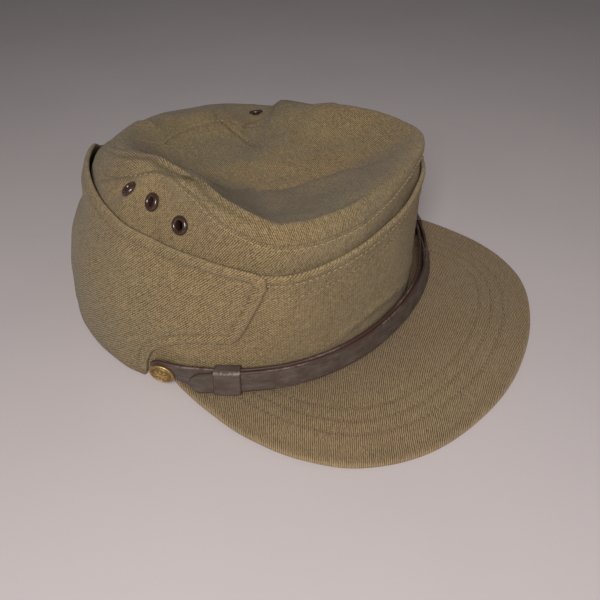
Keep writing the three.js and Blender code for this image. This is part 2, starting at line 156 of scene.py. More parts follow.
class Shader:
    """One material on a Principled shader."""

    def __init__(self, name: str) -> None:
        """Makes an empty material.

        Args:
            name: the material's name.
        """
        self.material = bpy.data.materials.new(name)
        self.material.use_nodes = True
        self.tree = self.material.node_tree
        self.surface = self.tree.nodes["Principled BSDF"]

    def make(
        self,
        kind: str,
        settings: dict[str, Any],
        inputs: dict[Union[str, int], Any],
        output: Union[str, int] = 0,
    ) -> Socket:
        """Adds a node.

        Args:
            kind: the node's type without its ShaderNode prefix.
            settings: properties set first.
            inputs: values or sockets by input name or number.
            output: which output to return.
        Returns:
            That output.
        """
        node = self.tree.nodes.new("ShaderNode" + kind)
        for name, value in settings.items():
            setattr(node, name, value)
        for name, value in inputs.items():
            self.feed(node.inputs[name], value)
        return Socket(self, node.outputs[output])

    def feed(self, target: bpy.types.NodeSocket, value: Any) -> None:
        """Links or sets an input.

        Args:
            target: the input.
            value: a socket to link, or a plain value or colour to set.
        """
        if isinstance(value, Socket):
            self.tree.links.new(value.socket, target)
        elif isinstance(value, tuple) and len(value) == 3 and target.type == "RGBA":
            target.default_value = (*value, 1.0)
        else:
            target.default_value = value

    def dress(self, **inputs: Any) -> bpy.types.Material:
        """Feeds the Principled shader.

        Args:
            inputs: its sockets by name, with _ for a space.
        Returns:
            The finished material.
        """
        for name, value in inputs.items():
            self.feed(self.surface.inputs[name.replace("_", " ").title().replace("Ior", "IOR")], value)
        return self.material

    def mix(self, share: Operand, first: Any, second: Any) -> Socket:
        """Mixes two colours."""
        return self.make("Mix", {"data_type": "RGBA"}, {0: share, 6: first, 7: second}, 2)

    def map(self, name: str) -> Socket:
        """A mesh's own map, in millimetres."""
        return self.make("UVMap", {"uv_map": name}, {})

    def split(self, vector: Socket) -> tuple[Socket, Socket]:
        """The first two parts of a vector."""
        parts = [self.make("SeparateXYZ", {}, {0: vector}, axis) for axis in (0, 1)]
        return parts[0], parts[1]

    def place(self, vector: Socket, scale: tuple[float, float, float], turn: float = 0.0) -> Socket:
        """A vector turned about Z by degrees, then scaled.

        Args:
            vector: the vector.
            scale: the factor along each axis.
            turn: degrees about Z.
        Returns:
            The turned and scaled vector.
        """
        inputs = {"Vector": vector, "Angle": math.radians(turn)}
        turned = self.make("VectorRotate", {"rotation_type": "Z_AXIS"}, inputs)
        return self.make("VectorMath", {"operation": "MULTIPLY"}, {0: turned, 1: scale})

    def grain(self, vector: Socket, scale: float, detail: float = 2.0, rough: float = 0.5) -> Socket:
        """Noise from 0 to 1."""
        inputs = {"Vector": vector, "Scale": scale, "Detail": detail, "Roughness": rough}
        return self.make("TexNoise", {}, inputs)

    def bump(self, height: Socket, depth: float, strength: float = 1.0) -> Socket:
        """A normal from a height of the given depth in millimetres."""
        return self.make("Bump", {}, {"Strength": strength, "Distance": depth * MM, "Height": height})


# Finishes


@dataclass(frozen=True)
class TwillFinish:
    """Washed cotton twill: fine ribs of broken floats, slubs, faded patches, edges paler from wear and a
    painted highlight, and darkening that includes painted shade.
    """

    name: str
    grain: float = 45.0
    rib: float = 0.78
    float_length: float = 1.35
    ribbed: float = 0.35
    base: Colour = (0.245, 0.178, 0.084)
    deep: Colour = (0.060, 0.042, 0.020)
    pale: Colour = (0.40, 0.31, 0.165)
    brown: Colour = (0.25, 0.166, 0.076)
    edge_width: float = 1.2

    def material(self) -> bpy.types.Material:
        """Makes the material.

        Returns:
            The material, for a mesh with both maps.
        """
        shader = Shader(self.name)
        weave = shader.map(WEAVE_MAP)
        edge, darkening = shader.split(shader.map(TRIM_MAP))
        sway = shader.grain(weave, 0.05, 1.0)
        wobble = shader.grain(weave, 0.5, 1.0)
        across, along = shader.split(shader.place(weave, (1.0, 1.0, 1.0), self.grain))
        phase = across / self.rib + sway * 2.0 + wobble * 0.7
        ribs = phase.wave()
        floats = (along / self.float_length + phase.floor() * 0.382 + wobble).wave()
        yarn = shader.grain(shader.place(weave, (1.25, 0.55, 1.0), self.grain), 1.0, 3.0, 0.7)
        slub = shader.grain(shader.place(weave, (0.5, 0.16, 1.0), self.grain), 1.0, 2.0, 0.6)
        plain = floats * ribs * 0.75 + 0.12
        height = ribs * self.ribbed + plain * (1.0 - self.ribbed) + (yarn - 0.5) * 1.5 + (slub - 0.5) * 0.5
        fade = shader.grain(weave, 0.035, 4.0, 0.6)
        patch = shader.grain(weave, 0.011, 2.0, 0.5)
        colour = shader.mix(patch.band(0.38, 0.66), self.base, self.brown)
        colour = shader.mix(height.band(0.44, 0.0) * 0.8, colour, self.deep)
        colour = shader.mix(height.band(0.36, 0.8) * 0.75, colour, self.pale)
        colour = shader.mix(fade.band(0.42, 0.75) * 0.14, colour, self.pale)
        # Edges are paler, partly from wear and partly as a painted highlight.
        wear_and_highlight = edge.band(self.edge_width, 0.2) * (fade * 0.7 + 0.1)
        colour = shader.mix(wear_and_highlight * 0.4, colour, self.pale)
        # Darken by the trim map's second channel: seam dirt, painted shade along folds, the flap's stitch
        # groove and the peak's stitch rows, and plain darkening towards the table and the peak's root.
        colour = shader.mix(darkening * 0.6, colour, self.deep)
        return shader.dress(
            base_color=colour,
            roughness=0.96 - yarn * 0.1,
            specular_ior_level=0.18,
            sheen_weight=0.12,
            sheen_roughness=0.6,
            normal=shader.bump(height, 0.26, 0.9),
        )


@dataclass(frozen=True)
class ThreadFinish:
    """Cotton sewing thread."""

    name: str
    colour: Colour = (0.45, 0.36, 0.21)
    shade: Colour = (0.28, 0.21, 0.115)
    twist: float = 0.7

    def material(self) -> bpy.types.Material:
        """Makes the material.

        Returns:
            The material, for a mesh with both maps.
        """
        shader = Shader(self.name)
        across, along = shader.split(shader.map(WEAVE_MAP))
        ply = (along / self.twist + across).wave()
        tone = shader.mix(ply.band(0.1, 0.9), self.shade, self.colour)
        return shader.dress(
            base_color=tone,
            roughness=0.85,
            specular_ior_level=0.2,
            normal=shader.bump(ply, 0.08),
        )


@dataclass(frozen=True)
class LeatherFinish:
    """Worn strap leather: fine grain, grey scuffs, dark burnished edges and pale rubbed folds."""

    name: str
    base: Colour = (0.064, 0.046, 0.036)
    scuff: Colour = (0.112, 0.088, 0.075)
    edge: Colour = (0.058, 0.025, 0.018)
    rubbed: Colour = (0.40, 0.35, 0.31)

    def material(self) -> bpy.types.Material:
        """Makes the material.

        Returns:
            The material, for a mesh with both maps.
        """
        shader = Shader(self.name)
        weave = shader.map(WEAVE_MAP)
        edge, rub = shader.split(shader.map(TRIM_MAP))
        cells = {"Vector": weave, "Scale": 1.5}
        pores = shader.make("TexVoronoi", {"feature": "DISTANCE_TO_EDGE"}, cells, "Distance")
        cloud = shader.grain(shader.place(weave, (0.14, 0.4, 1.0)), 1.0, 5.0, 0.65)
        fine = shader.grain(weave, 2.2, 4.0, 0.7)
        height = pores.band(0.0, 0.25) * 0.5 + fine * 0.5
        colour = shader.mix(cloud.band(0.35, 0.7), self.base, self.scuff)
        colour = shader.mix(fine.band(0.62, 0.3) * 0.35, colour, self.edge)
        colour = shader.mix(edge.band(1.25, 0.35), colour, self.edge)
        chafe = shader.grain(weave, 0.8, 3.0, 0.7)
        colour = shader.mix(rub * chafe.band(0.40, 0.56), colour, self.rubbed)
        return shader.dress(
            base_color=colour,
            roughness=0.46 + cloud * 0.22,
            specular_ior_level=0.5,
            coat_weight=0.06,
            coat_roughness=0.35,
            normal=shader.bump(height, 0.1, 0.6),
        )


@dataclass(frozen=True)
class BrassFinish:
    """Old gilt brass: bright on the raised parts, brown in the hollows."""

    name: str
    bright: Colour = (0.68, 0.48, 0.19)
    dull: Colour = (0.24, 0.155, 0.062)

    def material(self) -> bpy.types.Material:
        """Makes the material.

        Returns:
            The material, for a mesh with both maps.
        """
        shader = Shader(self.name)
        weave = shader.map(WEAVE_MAP)
        _, hollow = shader.split(shader.map(TRIM_MAP))
        spots = shader.grain(weave, 1.1, 5.0, 0.7)
        tone = shader.mix(spots.band(0.4, 0.68) * 0.6 + hollow * 0.7, self.bright, self.dull)
        return shader.dress(
            base_color=tone,
            metallic=0.92,
            roughness=0.34 + spots * 0.3,
            normal=shader.bump(spots, 0.12, 0.5),
        )


@dataclass(frozen=True)
class PaintFinish:
    """Dark brown painted metal, chipped to bare metal in places."""

    name: str
    paint: Colour = (0.044, 0.020, 0.014)
    bare: Colour = (0.22, 0.15, 0.105)

    def material(self) -> bpy.types.Material:
        """Makes the material.

        Returns:
            The material, for a mesh with both maps.
        """
        shader = Shader(self.name)
        weave = shader.map(WEAVE_MAP)
        _, raised = shader.split(shader.map(TRIM_MAP))
        chips = shader.grain(weave, 0.9, 5.0, 0.75)
        bare = chips.band(0.6, 0.68) * raised
        return shader.dress(
            base_color=shader.mix(bare, self.paint, self.bare),
            metallic=bare * 0.8,
            roughness=0.2 + chips * 0.2,
            coat_weight=0.7,
            coat_roughness=0.09,
            normal=shader.bump(chips, 0.1, 0.6),
        )


@dataclass(frozen=True)
class FloorFinish:
    """A plain pale table top."""

    name: str
    colour: Colour = (0.60, 0.545, 0.55)
    mottled: Colour = (0.53, 0.475, 0.48)

    def material(self) -> bpy.types.Material:
        """Makes the material.

        Returns:
            The material.
        """
        shader = Shader(self.name)
        place = shader.make("TexCoord", {}, {}, "Object")
        mottle = shader.grain(place, 9.0, 3.0, 0.5)
        tone = shader.mix(mottle.band(0.35, 0.7) * 0.25, self.colour, self.mottled)
        return shader.dress(base_color=tone, roughness=0.9, specular_ior_level=0.1)


# Tables and the crown's form


class Table:
    """A short table of rows with named columns, read smoothly at any angle."""

    def __init__(self, names: str, rows: Sequence[Sequence[float]], closed: bool = False) -> None:
        """Makes a table.

        Args:
            names: column names, the first of them angle.
            rows: a row of numbers for each angle.
            closed: whether the rows run round the full circle.
        """
        self.columns = dict(zip(names.split(), np.array(rows, float).T))
        self.closed = closed

    def at(self, name: str, angle: Array) -> Array:
        """A column at any angle, by a smooth curve that never overshoots the rows.

        Args:
            name: the column.
            angle: degrees, in any shape.
        Returns:
            The column's values there.
        """
        x, y = self.columns["angle"], self.columns[name]
        angle = np.asarray(angle, float)
        if self.closed:
            angle = (angle - x[0]) % 360 + x[0]
            x = np.concatenate([x - 360, x, x + 360])
            y = np.tile(y, 3)
        angle = np.clip(angle, x[0], x[-1])
        grade = np.diff(y) / np.diff(x)
        product = grade[:-1] * grade[1:]
        total = np.where(product > 0, grade[:-1] + grade[1:], 1.0)
        slope = np.concatenate([[0.0], np.where(product > 0, 2 * product / total, 0.0), [0.0]])
        i = np.clip(np.searchsorted(x, angle, "right") - 1, 0, len(x) - 2)
        span = x[i + 1] - x[i]
        t = (angle - x[i]) / span
        start = (2 * t**3 - 3 * t**2 + 1) * y[i] + (t**3 - 2 * t**2 + t) * slope[i] * span
        end = (3 * t**2 - 2 * t**3) * y[i + 1] + (t**3 - t**2) * slope[i + 1] * span
        return start + end


# The crown's section all round, in millimetres; the seam is a station along it.
CROWN_TABLE = Table(
    "angle bend foot_dent shoulder_radius shoulder_height rim_radius rim_height dip_radius dip_height seam",
    [
        (-160, 2.2, 0, 80, 60, 64, 69, 34, 60, 2.6),
        (-135, 2.2, 0, 74, 65, 60.5, 76, 30, 61, 1.7),
        (-115, 2.1, 0, 70, 71, 54.5, 82, 25, 61.5, 1.14),
        (-95, 2.0, 0, 63.5, 81, 50.5, 85, 22, 61.5, 1.16),
        (-80, 2.0, 0, 58.5, 85.5, 52.5, 87, 22, 61, 1.15),
        (-65, 1.9, 0, 66, 84, 56, 86.5, 24, 60.5, 1.12),
        (-50, 1.6, 0, 80, 77, 71, 85, 22, 60.5, 1.2),
        (-36, 1.2, 0, 88.5, 71, 83.5, 82, 22, 60, 1.36),
        (-18, 1.1, 0, 85, 70, 81.5, 81, 25, 60, 1.32),
        (0, 1.1, 0.5, 81.5, 69, 78.5, 80.5, 29, 60.5, 1.42),
        (18, 1.1, 1.5, 81, 69, 80, 80, 35, 61.5, 1.58),
        (36, 1.1, 2.5, 83, 69, 83, 79.5, 52, 67, 1.7),
        (50, 1.5, 1.5, 78.5, 71, 75.5, 79, 50, 68.5, 1.75),
        (65, 1.9, 0, 70, 74, 63.5, 78.5, 40, 68, 1.75),
        (80, 2.0, 0, 62, 74, 54, 77, 33, 67, 1.75),
        (95, 2.1, 0, 61, 70, 51, 73, 30, 65, 1.75),
        (117, 2.2, 0, 67.5, 66, 49, 66.5, 29, 62, 1.8),
        (123, 2.2, 0, 71.5, 60, 49.5, 60.5, 29, 59.5, 2.0),
        (132, 2.2, 0, 75, 58.5, 51, 59.5, 30, 58, 2.35),
        (150, 2.2, 0, 79, 58.5, 57, 64, 34, 59.5, 2.45),
        (175, 2.2, 0, 82, 58, 64, 68, 36, 60, 2.6),
    ],
    closed=True,
)

# The band's top edge.
BAND_TABLE = Table("angle height", [(-80, 62), (-36, 64), (0, 66), (36, 66), (80, 60)])

# The flap by the angle from the front: its edges' heights, and how far it stands off the wall.
FLAP_TABLE = Table(
    "angle lower top_right top_left foot middle top",
    [
        (42, 58.5, 63.5, 63, 3.4, 3.4, 3.4),
        (44, 51, 65.5, 65.5, 3.4, 3.4, 3.4),
        (52, 30, 66, 66, 3.3, 3.1, 3.1),
        (60, 28.8, 66, 65, 3.2, 2.8, 2.8),
        (67.5, 25.5, 66, 63.5, 2.8, 2.8, 2.8),
        (74.5, 18.5, 66.2, 62, 2.8, 2.8, 2.8),
        (77, 10.5, 66.5, 61, 2.8, 2.8, 2.8),
        (78.5, 1, 66.5, 60.5, 2.8, 2.8, 2.8),
        (84, 0.8, 66.8, 59.5, 3, 2.8, 2.8),
        (100, 0.6, 68, 56, 3.4, 1.8, 1.2),
        (118, 0.6, 69, 50, 3.4, 1.8, 2),
        (138, 0.6, 68.7, 50, 3.2, 2.4, 4),
        (148, 0.6, 66.6, 52, 3.1, 2.6, 3.6),
        (155, 0.6, 60.5, 53, 3, 2.7, 1.4),
        (162, 0.6, 57, 54, 3, 2.7, 1.2),
        (180, 0.6, 56, 56, 2.8, 2.7, 1.6),
    ],
)

# How far the peak's worn edge is outside its plain outline, by the angle round it.
PEAK_TABLE = Table(
    "angle out",
    [
        (-111, 4.5),
        (-105, 3.0),
        (-95, 0.6),
        (-80, -1.2),
        (-67, -0.6),
        (-51, 1.5),
        (-33, 2.2),
        (-11, 1.1),
        (11, 1.1),
        (31, 2.3),
        (50, 4.0),
        (64, 2.4),
        (75, 0.3),
        (90, -1.6),
        (111, -2.0),
    ],
)


def unit(vectors: Array) -> Array:
    """Vectors scaled to length 1."""
    return vectors / np.maximum(np.linalg.norm(vectors, axis=-1, keepdims=True), 1e-9)


def step(values: Array, low: float, high: float) -> Array:
    """A smooth step from 0 at low to 1 at high."""
    t = np.clip((np.asarray(values, float) - low) / (high - low), 0, 1)
    return t * t * (3 - 2 * t)


def bell(values: Array, width: float) -> Array:
    """A bell of the given half width."""
    return np.exp(-((np.asarray(values, float) / width) ** 2))


def run_of(path: Array) -> Array:
    """Lengths along a line up to each of its points."""
    return np.concatenate([[0], np.cumsum(np.linalg.norm(np.diff(path, axis=0), axis=-1))])


def read_along(data: Array, reached: Array, places: Array) -> Array:
    """A line's data read at places along it.

    Args:
        data: a row for each of the line's points.
        reached: how far along the line those points are.
        places: where to read.
    Returns:
        The data, with one more axis than the places.
    """
    return np.stack([np.interp(places, reached, column) for column in data.T], -1)


def near_line(points: Array, line: Array) -> tuple[Array, Array]:
    """How far points are from a line.

    Args:
        points: an array of points, in any shape.
        line: the line's points in order, in the same number of dimensions.
    Returns:
        The distance to the line, and the place along it from 0 to 1.
    """
    flat = points.reshape(-1, points.shape[-1])
    best = np.full(len(flat), 1e9)
    place = np.zeros(len(flat))
    reached = run_of(line)
    for i, length in enumerate(np.diff(reached)):
        along = (line[i + 1] - line[i]) / max(length, 1e-9)
        t = np.clip((flat - line[i]) @ along, 0, length)
        away = np.linalg.norm(flat - line[i] - t[:, None] * along, axis=1)
        closer = away < best
        best[closer] = away[closer]
        place[closer] = (reached[i] + t[closer]) / reached[-1]
    return best.reshape(points.shape[:-1]), place.reshape(points.shape[:-1])


@dataclass(frozen=True)
class Rumple:
    """Soft noise about 0 over cloth or leather: its bumps' size, a shift of its own and its depth."""

    wave: float
    seed: float
    depth: float

    def lift(self, points: Array) -> Array:
        """How far the noise raises each point.

        Args:
            points: the points, in any shape.
        Returns:
            The lift, in millimetres.
        """
        flat = points.reshape(-1, 3) / self.wave + self.seed
        values = [noise.fractal(Vector(p), 0.9, 2.1, 3) for p in flat]
        return np.array(values).reshape(points.shape[:-1]) * self.depth


@dataclass
class CrownForm:
    """The crown's surface, which every cloth piece follows."""

    axis_y: float
    foot_half_width: float = 92.0
    foot_front: float = 86.0
    foot_back: float = 95.0
    cloth: float = 1.8
    gap: float = 0.35
    tip_centre_height: float = 62.0
    turn_share: float = 0.86

    def polar(self, angle: Array, radius: Array, height: Array) -> Array:
        """Points by angle, radius and height.

        Args:
            angle: degrees round the crown.
            radius: distance from the axis.
            height: height above the table.
        Returns:
            The points.
        """
        a = np.radians(angle)
        x, y = radius * np.sin(a), self.axis_y - radius * np.cos(a)
        return np.stack(np.broadcast_arrays(x, y, height), -1)

    def outward(self, angle: Array, lean: Array) -> Array:
        """Directions out from the axis, leant up by the given slope."""
        return unit(self.polar(angle, 1.0, lean) - self.polar(angle, 0.0, 0.0))

    def foot_radius(self, angle: Array) -> Array:
        """The wall's radius at the table.

        Args:
            angle: degrees round the crown.
        Returns:
            The radius in each direction.
        """
        a = np.radians(angle)
        length = np.where(np.cos(a) > 0, self.foot_front, self.foot_back)
        oval = 1 / np.hypot(np.sin(a) / self.foot_half_width, np.cos(a) / length)
        return oval - CROWN_TABLE.at("foot_dent", angle)

    def wall_radius(self, angle: Array, height: Array) -> Array:
        """The wall's radius at a height.

        Args:
            angle: degrees round the crown.
            height: height above the table.
        Returns:
            The radius there.
        """
        rise = np.maximum(height, 0) / CROWN_TABLE.at("shoulder_height", angle)
        foot, shoulder = self.foot_radius(angle), CROWN_TABLE.at("shoulder_radius", angle)
        return foot + (shoulder - foot) * rise ** CROWN_TABLE.at("bend", angle)

    def wall_point(self, angle: Array, height: Array) -> Array:
        """Points of the wall by angle and height."""
        return self.polar(angle, self.wall_radius(angle, height), height)

    def section(self, angle: Array) -> Array:
        """The points of each section above the wall.

        Args:
            angle: degrees round the crown.
        Returns:
            Six points for each angle, by radius and height.
        """
        shoulder = CROWN_TABLE.at("shoulder_height", angle)
        below = self.turn_share * shoulder
        dip = CROWN_TABLE.at("dip_radius", angle)
        dip_height = CROWN_TABLE.at("dip_height", angle)
        zero = np.zeros_like(dip)
        radii = [
            self.wall_radius(angle, below),
            CROWN_TABLE.at("shoulder_radius", angle),
            CROWN_TABLE.at("rim_radius", angle),
            dip,
            zero,
            -dip,
        ]
        middle = zero + self.tip_centre_height
        heights = [below, shoulder, CROWN_TABLE.at("rim_height", angle), dip_height, middle, dip_height]
        return np.stack([np.stack(radii, -1), np.stack(heights, -1)], -1)

    def point(self, angle: Array, station: Array) -> Array:
        """Points of the crown's surface.

        Args:
            angle: degrees round the crown.
            station: 0 to 1 up the wall, 1 to 2 over to the rim, 2 to 4 across the tip.
        Returns:
            The points, in the shape of the two together.
        """
        angle, station = np.broadcast_arrays(np.asarray(angle, float), np.asarray(station, float))
        height = np.minimum(station, 1) * CROWN_TABLE.at("shoulder_height", angle)
        wall = np.stack([self.wall_radius(angle, height), height], -1)
        knots = self.section(angle)
        knots = np.concatenate([2 * knots[..., :1, :] - knots[..., 1:2, :], knots], -2)
        i = np.clip(station.astype(int), 1, 3)
        picked = [(i + k)[..., None, None] for k in range(4)]
        p0, p1, p2, p3 = (np.take_along_axis(knots, k, -2)[..., 0, :] for k in picked)
        spans = (p1 - p0, p2 - p1, p3 - p2)
        d0, d1, d2 = (np.sqrt(np.linalg.norm(span, axis=-1, keepdims=True)) for span in spans)
        m1 = ((p1 - p0) / d0 - (p2 - p0) / (d0 + d1) + (p2 - p1) / d1) * d1
        m2 = ((p2 - p1) / d1 - (p3 - p1) / (d1 + d2) + (p3 - p2) / d2) * d1
        t = (station - i)[..., None]
        over = p1 + m1 * t + (3 * (p2 - p1) - 2 * m1 - m2) * t**2 + (2 * (p1 - p2) + m1 + m2) * t**3
        both = np.where((station <= 1)[..., None], wall, over)
        return self.polar(angle, both[..., 0], both[..., 1])

    def inside(self, points: Array, line: Array, place: Array) -> Array:
        """Whether points are above a line on the crown or nearer its axis: 1 or -1.

        Args:
            points: points of the crown's surface.
            line: points of a line on it.
            place: the place along the line that is nearest to each point, from 0 to 1.
        Returns:
            The signs.
        """
        radius, line_radius = (np.hypot(p[..., 0], p[..., 1] - self.axis_y) for p in (points, line))
        reached = run_of(line)
        shares = reached / reached[-1]
        inward = np.interp(place, shares, line_radius) - radius
        above = points[..., 2] - np.interp(place, shares, line[:, 2])
        return np.where(2 * inward + above > 0, 1, -1)

    def normal(self, angle: Array, station: Array) -> Array:
        """Outward normals of the crown's surface.

        Args:
            angle: degrees round the crown.
            station: as for point.
        Returns:
            The normals, of length 1.
        """
        small = 0.02
        ahead = self.point(angle, np.minimum(station + small, 4 - small))
        along = ahead - self.point(angle, np.maximum(station - small, 0))
        around = self.point(angle + 1, station) - self.point(angle - 1, station)
        return unit(np.cross(around, along))


class Course:
    """Lengths of cloth along the crown's sections, from the foot to the middle of the tip."""

    def __init__(self, form: CrownForm, angle: Array) -> None:
        """Measures the sections.

        Args:
            form: the crown.
            angle: the direction of each section, in degrees.
        """
        self.station = np.linspace(0, 3.98, 480)
        points = form.point(angle[None], self.station[:, None])
        lengths = np.cumsum(np.linalg.norm(np.diff(points, axis=0), axis=-1), axis=0)
        self.length = np.concatenate([np.zeros((1, len(angle))), lengths])
        self.total = self.length[-1]
        self.seam = self.lengths(CROWN_TABLE.at("seam", angle)[None])[0]

    def lengths(self, station: Array) -> Array:
        """Lengths up to stations, a column for each section."""
        columns = zip(station.T, self.length.T)
        return np.stack([np.interp(want, self.station, length) for want, length in columns], -1)

    def stations(self, length: Array) -> Array:
        """Stations at lengths, a column for each section."""
        columns = zip(length.T, self.length.T)
        return np.stack([np.interp(want, reached, self.station) for want, reached in columns], -1)


# Mesh building


@dataclass
class MeshMaker:
    """Grids and loose pieces gathered into one mesh with its two maps."""

    points: list[Array] = field(default_factory=list)
    faces: list[Array] = field(default_factory=list)
    maps: list[Array] = field(default_factory=list)
    count: int = 0

    def grid(
        self,
        points: Array,
        weave: Array,
        trim: Array,
        looped: bool = False,
        flip: bool = False,
    ) -> None:
        """Adds a grid of quads.

        Args:
            points: rows by columns of points.
            weave: the weave map there, with one more column where the grid is looped.
            trim: the trim map there, likewise.
            looped: whether the last column joins the first.
            flip: whether the faces look the other way.
        """
        rows, cols = points.shape[:2]
        wide = cols + 1 if looped else cols
        r, c = np.meshgrid(np.arange(rows - 1), np.arange(wide - 1), indexing="ij")
        corners = [(r, c), (r, c + 1), (r + 1, c + 1), (r + 1, c)]
        if flip:
            corners.reverse()
        index = np.stack([(a * cols + b % cols).ravel() for a, b in corners], -1)
        map_index = np.stack([(a * wide + b).ravel() for a, b in corners], -1)
        both = np.concatenate([weave.reshape(-1, 2), trim.reshape(-1, 2)], -1)
        self.points.append(points.reshape(-1, 3))
        self.faces.append(index + self.count)
        self.maps.append(both[map_index])
        self.count += rows * cols

    def sheet(
        self,
        middle: Array,
        normal: Array,
        half: Array,
        lift: Array,
        weave: Array,
        trim: Array,
        looped: bool = False,
    ) -> None:
        """Adds a sheet with two faces that meet where its half thickness is 0.

        Args:
            middle: the sheet's middle surface.
            normal: its normals.
            half: half the thickness at each point.
            lift: how far the outer face is raised further.
            weave: the weave map.
            trim: the trim map.
            looped: whether the last column joins the first.
        """
        self.grid(middle + normal * (half + lift)[..., None], weave, trim, looped)
        self.grid(middle - normal * half[..., None], weave, trim, looped, flip=True)

    def build(self, name: str, material: bpy.types.Material) -> bpy.types.Object:
        """Makes the object.

        Args:
            name: the object's name.
            material: its finish.
        Returns:
            The object, linked to the scene and riding on the cap's body.
        """
        mesh = bpy.data.meshes.new(name)
        faces = np.concatenate(self.faces)
        mesh.from_pydata((np.concatenate(self.points) * MM).tolist(), [], faces.tolist())
        corners = np.concatenate(self.maps).reshape(-1, 4)
        for map_name, part in ((WEAVE_MAP, corners[:, :2]), (TRIM_MAP, corners[:, 2:])):
            layer = mesh.uv_layers.new(name=map_name)
            layer.data.foreach_set("uv", part.astype(np.float32).ravel())
        work = bmesh.new()
        work.from_mesh(mesh)
        bmesh.ops.remove_doubles(work, verts=work.verts, dist=2e-6)
        bmesh.ops.dissolve_degenerate(work, edges=work.edges, dist=1e-7)
        bmesh.ops.recalc_face_normals(work, faces=work.faces)
        work.to_mesh(mesh)
        work.free()
        mesh.shade_smooth()
        mesh.materials.append(material)
        piece = bpy.data.objects.new(name, mesh)
        bpy.context.scene.collection.objects.link(piece)
        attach(piece, BODY)
        return piece


def report(piece: bpy.types.Object, slot: str, *nodes: str) -> bpy.types.Object:
    """Hides the frame's nodes that a piece stands for, and logs the piece.

    Args:
        piece: the piece.
        slot: the record's material slot; not used.
        nodes: the frame's nodes that it replaces.
    Returns:
        The piece.
    """
    if nodes:
        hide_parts(*nodes)
    log.info("%s: %d faces", piece.name, len(piece.data.polygons))
    return piece


def closed(data: Array) -> Array:
    """A looped grid's map with its first column repeated at the end."""
    return np.concatenate([data, data[:, :1]], 1)


def rounded(distance: Array, half: float, radius: float) -> Array:
    """Half thickness near a rounded edge, by the distance from the edge."""
    t = np.clip(distance / radius, 0, 1)
    return half * np.sqrt(np.maximum(1 - (1 - t) ** 2, 0))


def eased(count: int, ends: float = 0.012) -> Array:
    """Shares from 0 to 1 with a few close together at both ends."""
    close = np.array([0.0, 0.12, 0.35, 0.7, 1.0]) * ends
    return np.concatenate([close, np.linspace(ends, 1 - ends, count)[1:-1], 1 - close[::-1]])


# Stitching


@dataclass
class Stitching:
    """Runs of thread stitches lying on the cloth."""

    pitch: float = 2.8
    length: float = 1.9
    radius: float = 0.27
    rise: float = 0.2
    dive: float = 0.3
    sides: int = 6
    rings: int = 5
    runs: list[tuple[Array, Array]] = field(default_factory=list)

    def run(self, path: Array, normal: Array) -> None:
        """Adds a line of points and normals for stitches to follow."""
        self.runs.append((path, normal))

    def _stitches(self, path: Array, normal: Array) -> tuple[Array, Array, Array]:
        """Lays out the stitches of a run.

        Args:
            path: the run's points.
            normal: the cloth's normals there.
        Returns:
            Ring centres, directions and normals, a row for each stitch.
        """
        reached = run_of(path)
        starts = np.arange(0, max(reached[-1] - self.length, 0), self.pitch)
        places = starts[:, None] + np.linspace(0, self.length, self.rings)
        bow = np.sin(np.linspace(0, math.pi, self.rings))
        height = bow * (self.rise + self.dive) - self.dive
        up = unit(read_along(normal, reached, places))
        centre = read_along(path, reached, places) + up * height[:, None]
        along = unit(np.gradient(centre, axis=1))
        return centre, along, up

    def build(self, name: str, finish: ThreadFinish) -> bpy.types.Object:
        """Makes all the runs as one joined piece.

        Args:
            name: the piece's name.
            finish: its thread.
        Returns:
            The piece.
        """
        maker = MeshMaker()
        turn = np.linspace(0, math.tau, self.sides, endpoint=False)
        taper = np.sqrt(np.sin(np.linspace(0.15, math.pi - 0.15, self.rings)))
        weave_row = np.linspace(0, 1, self.sides + 1)
        weave = np.stack(np.meshgrid(weave_row, np.linspace(0, self.length, self.rings)), -1)
        for path, normal in self.runs:
            centre, along, up = self._stitches(path, normal)
            across = unit(np.cross(along, up))
            lift = np.cross(across, along)
            sway, rise = np.cos(turn)[:, None], np.sin(turn)[:, None]
            ring = across[:, :, None] * sway + lift[:, :, None] * rise
            stitches = centre[:, :, None] + ring * (self.radius * taper)[:, None, None]
            for points in stitches:
                maker.grid(points, weave, np.zeros_like(weave), looped=True)
        return maker.build(name, finish.material())


# Folds


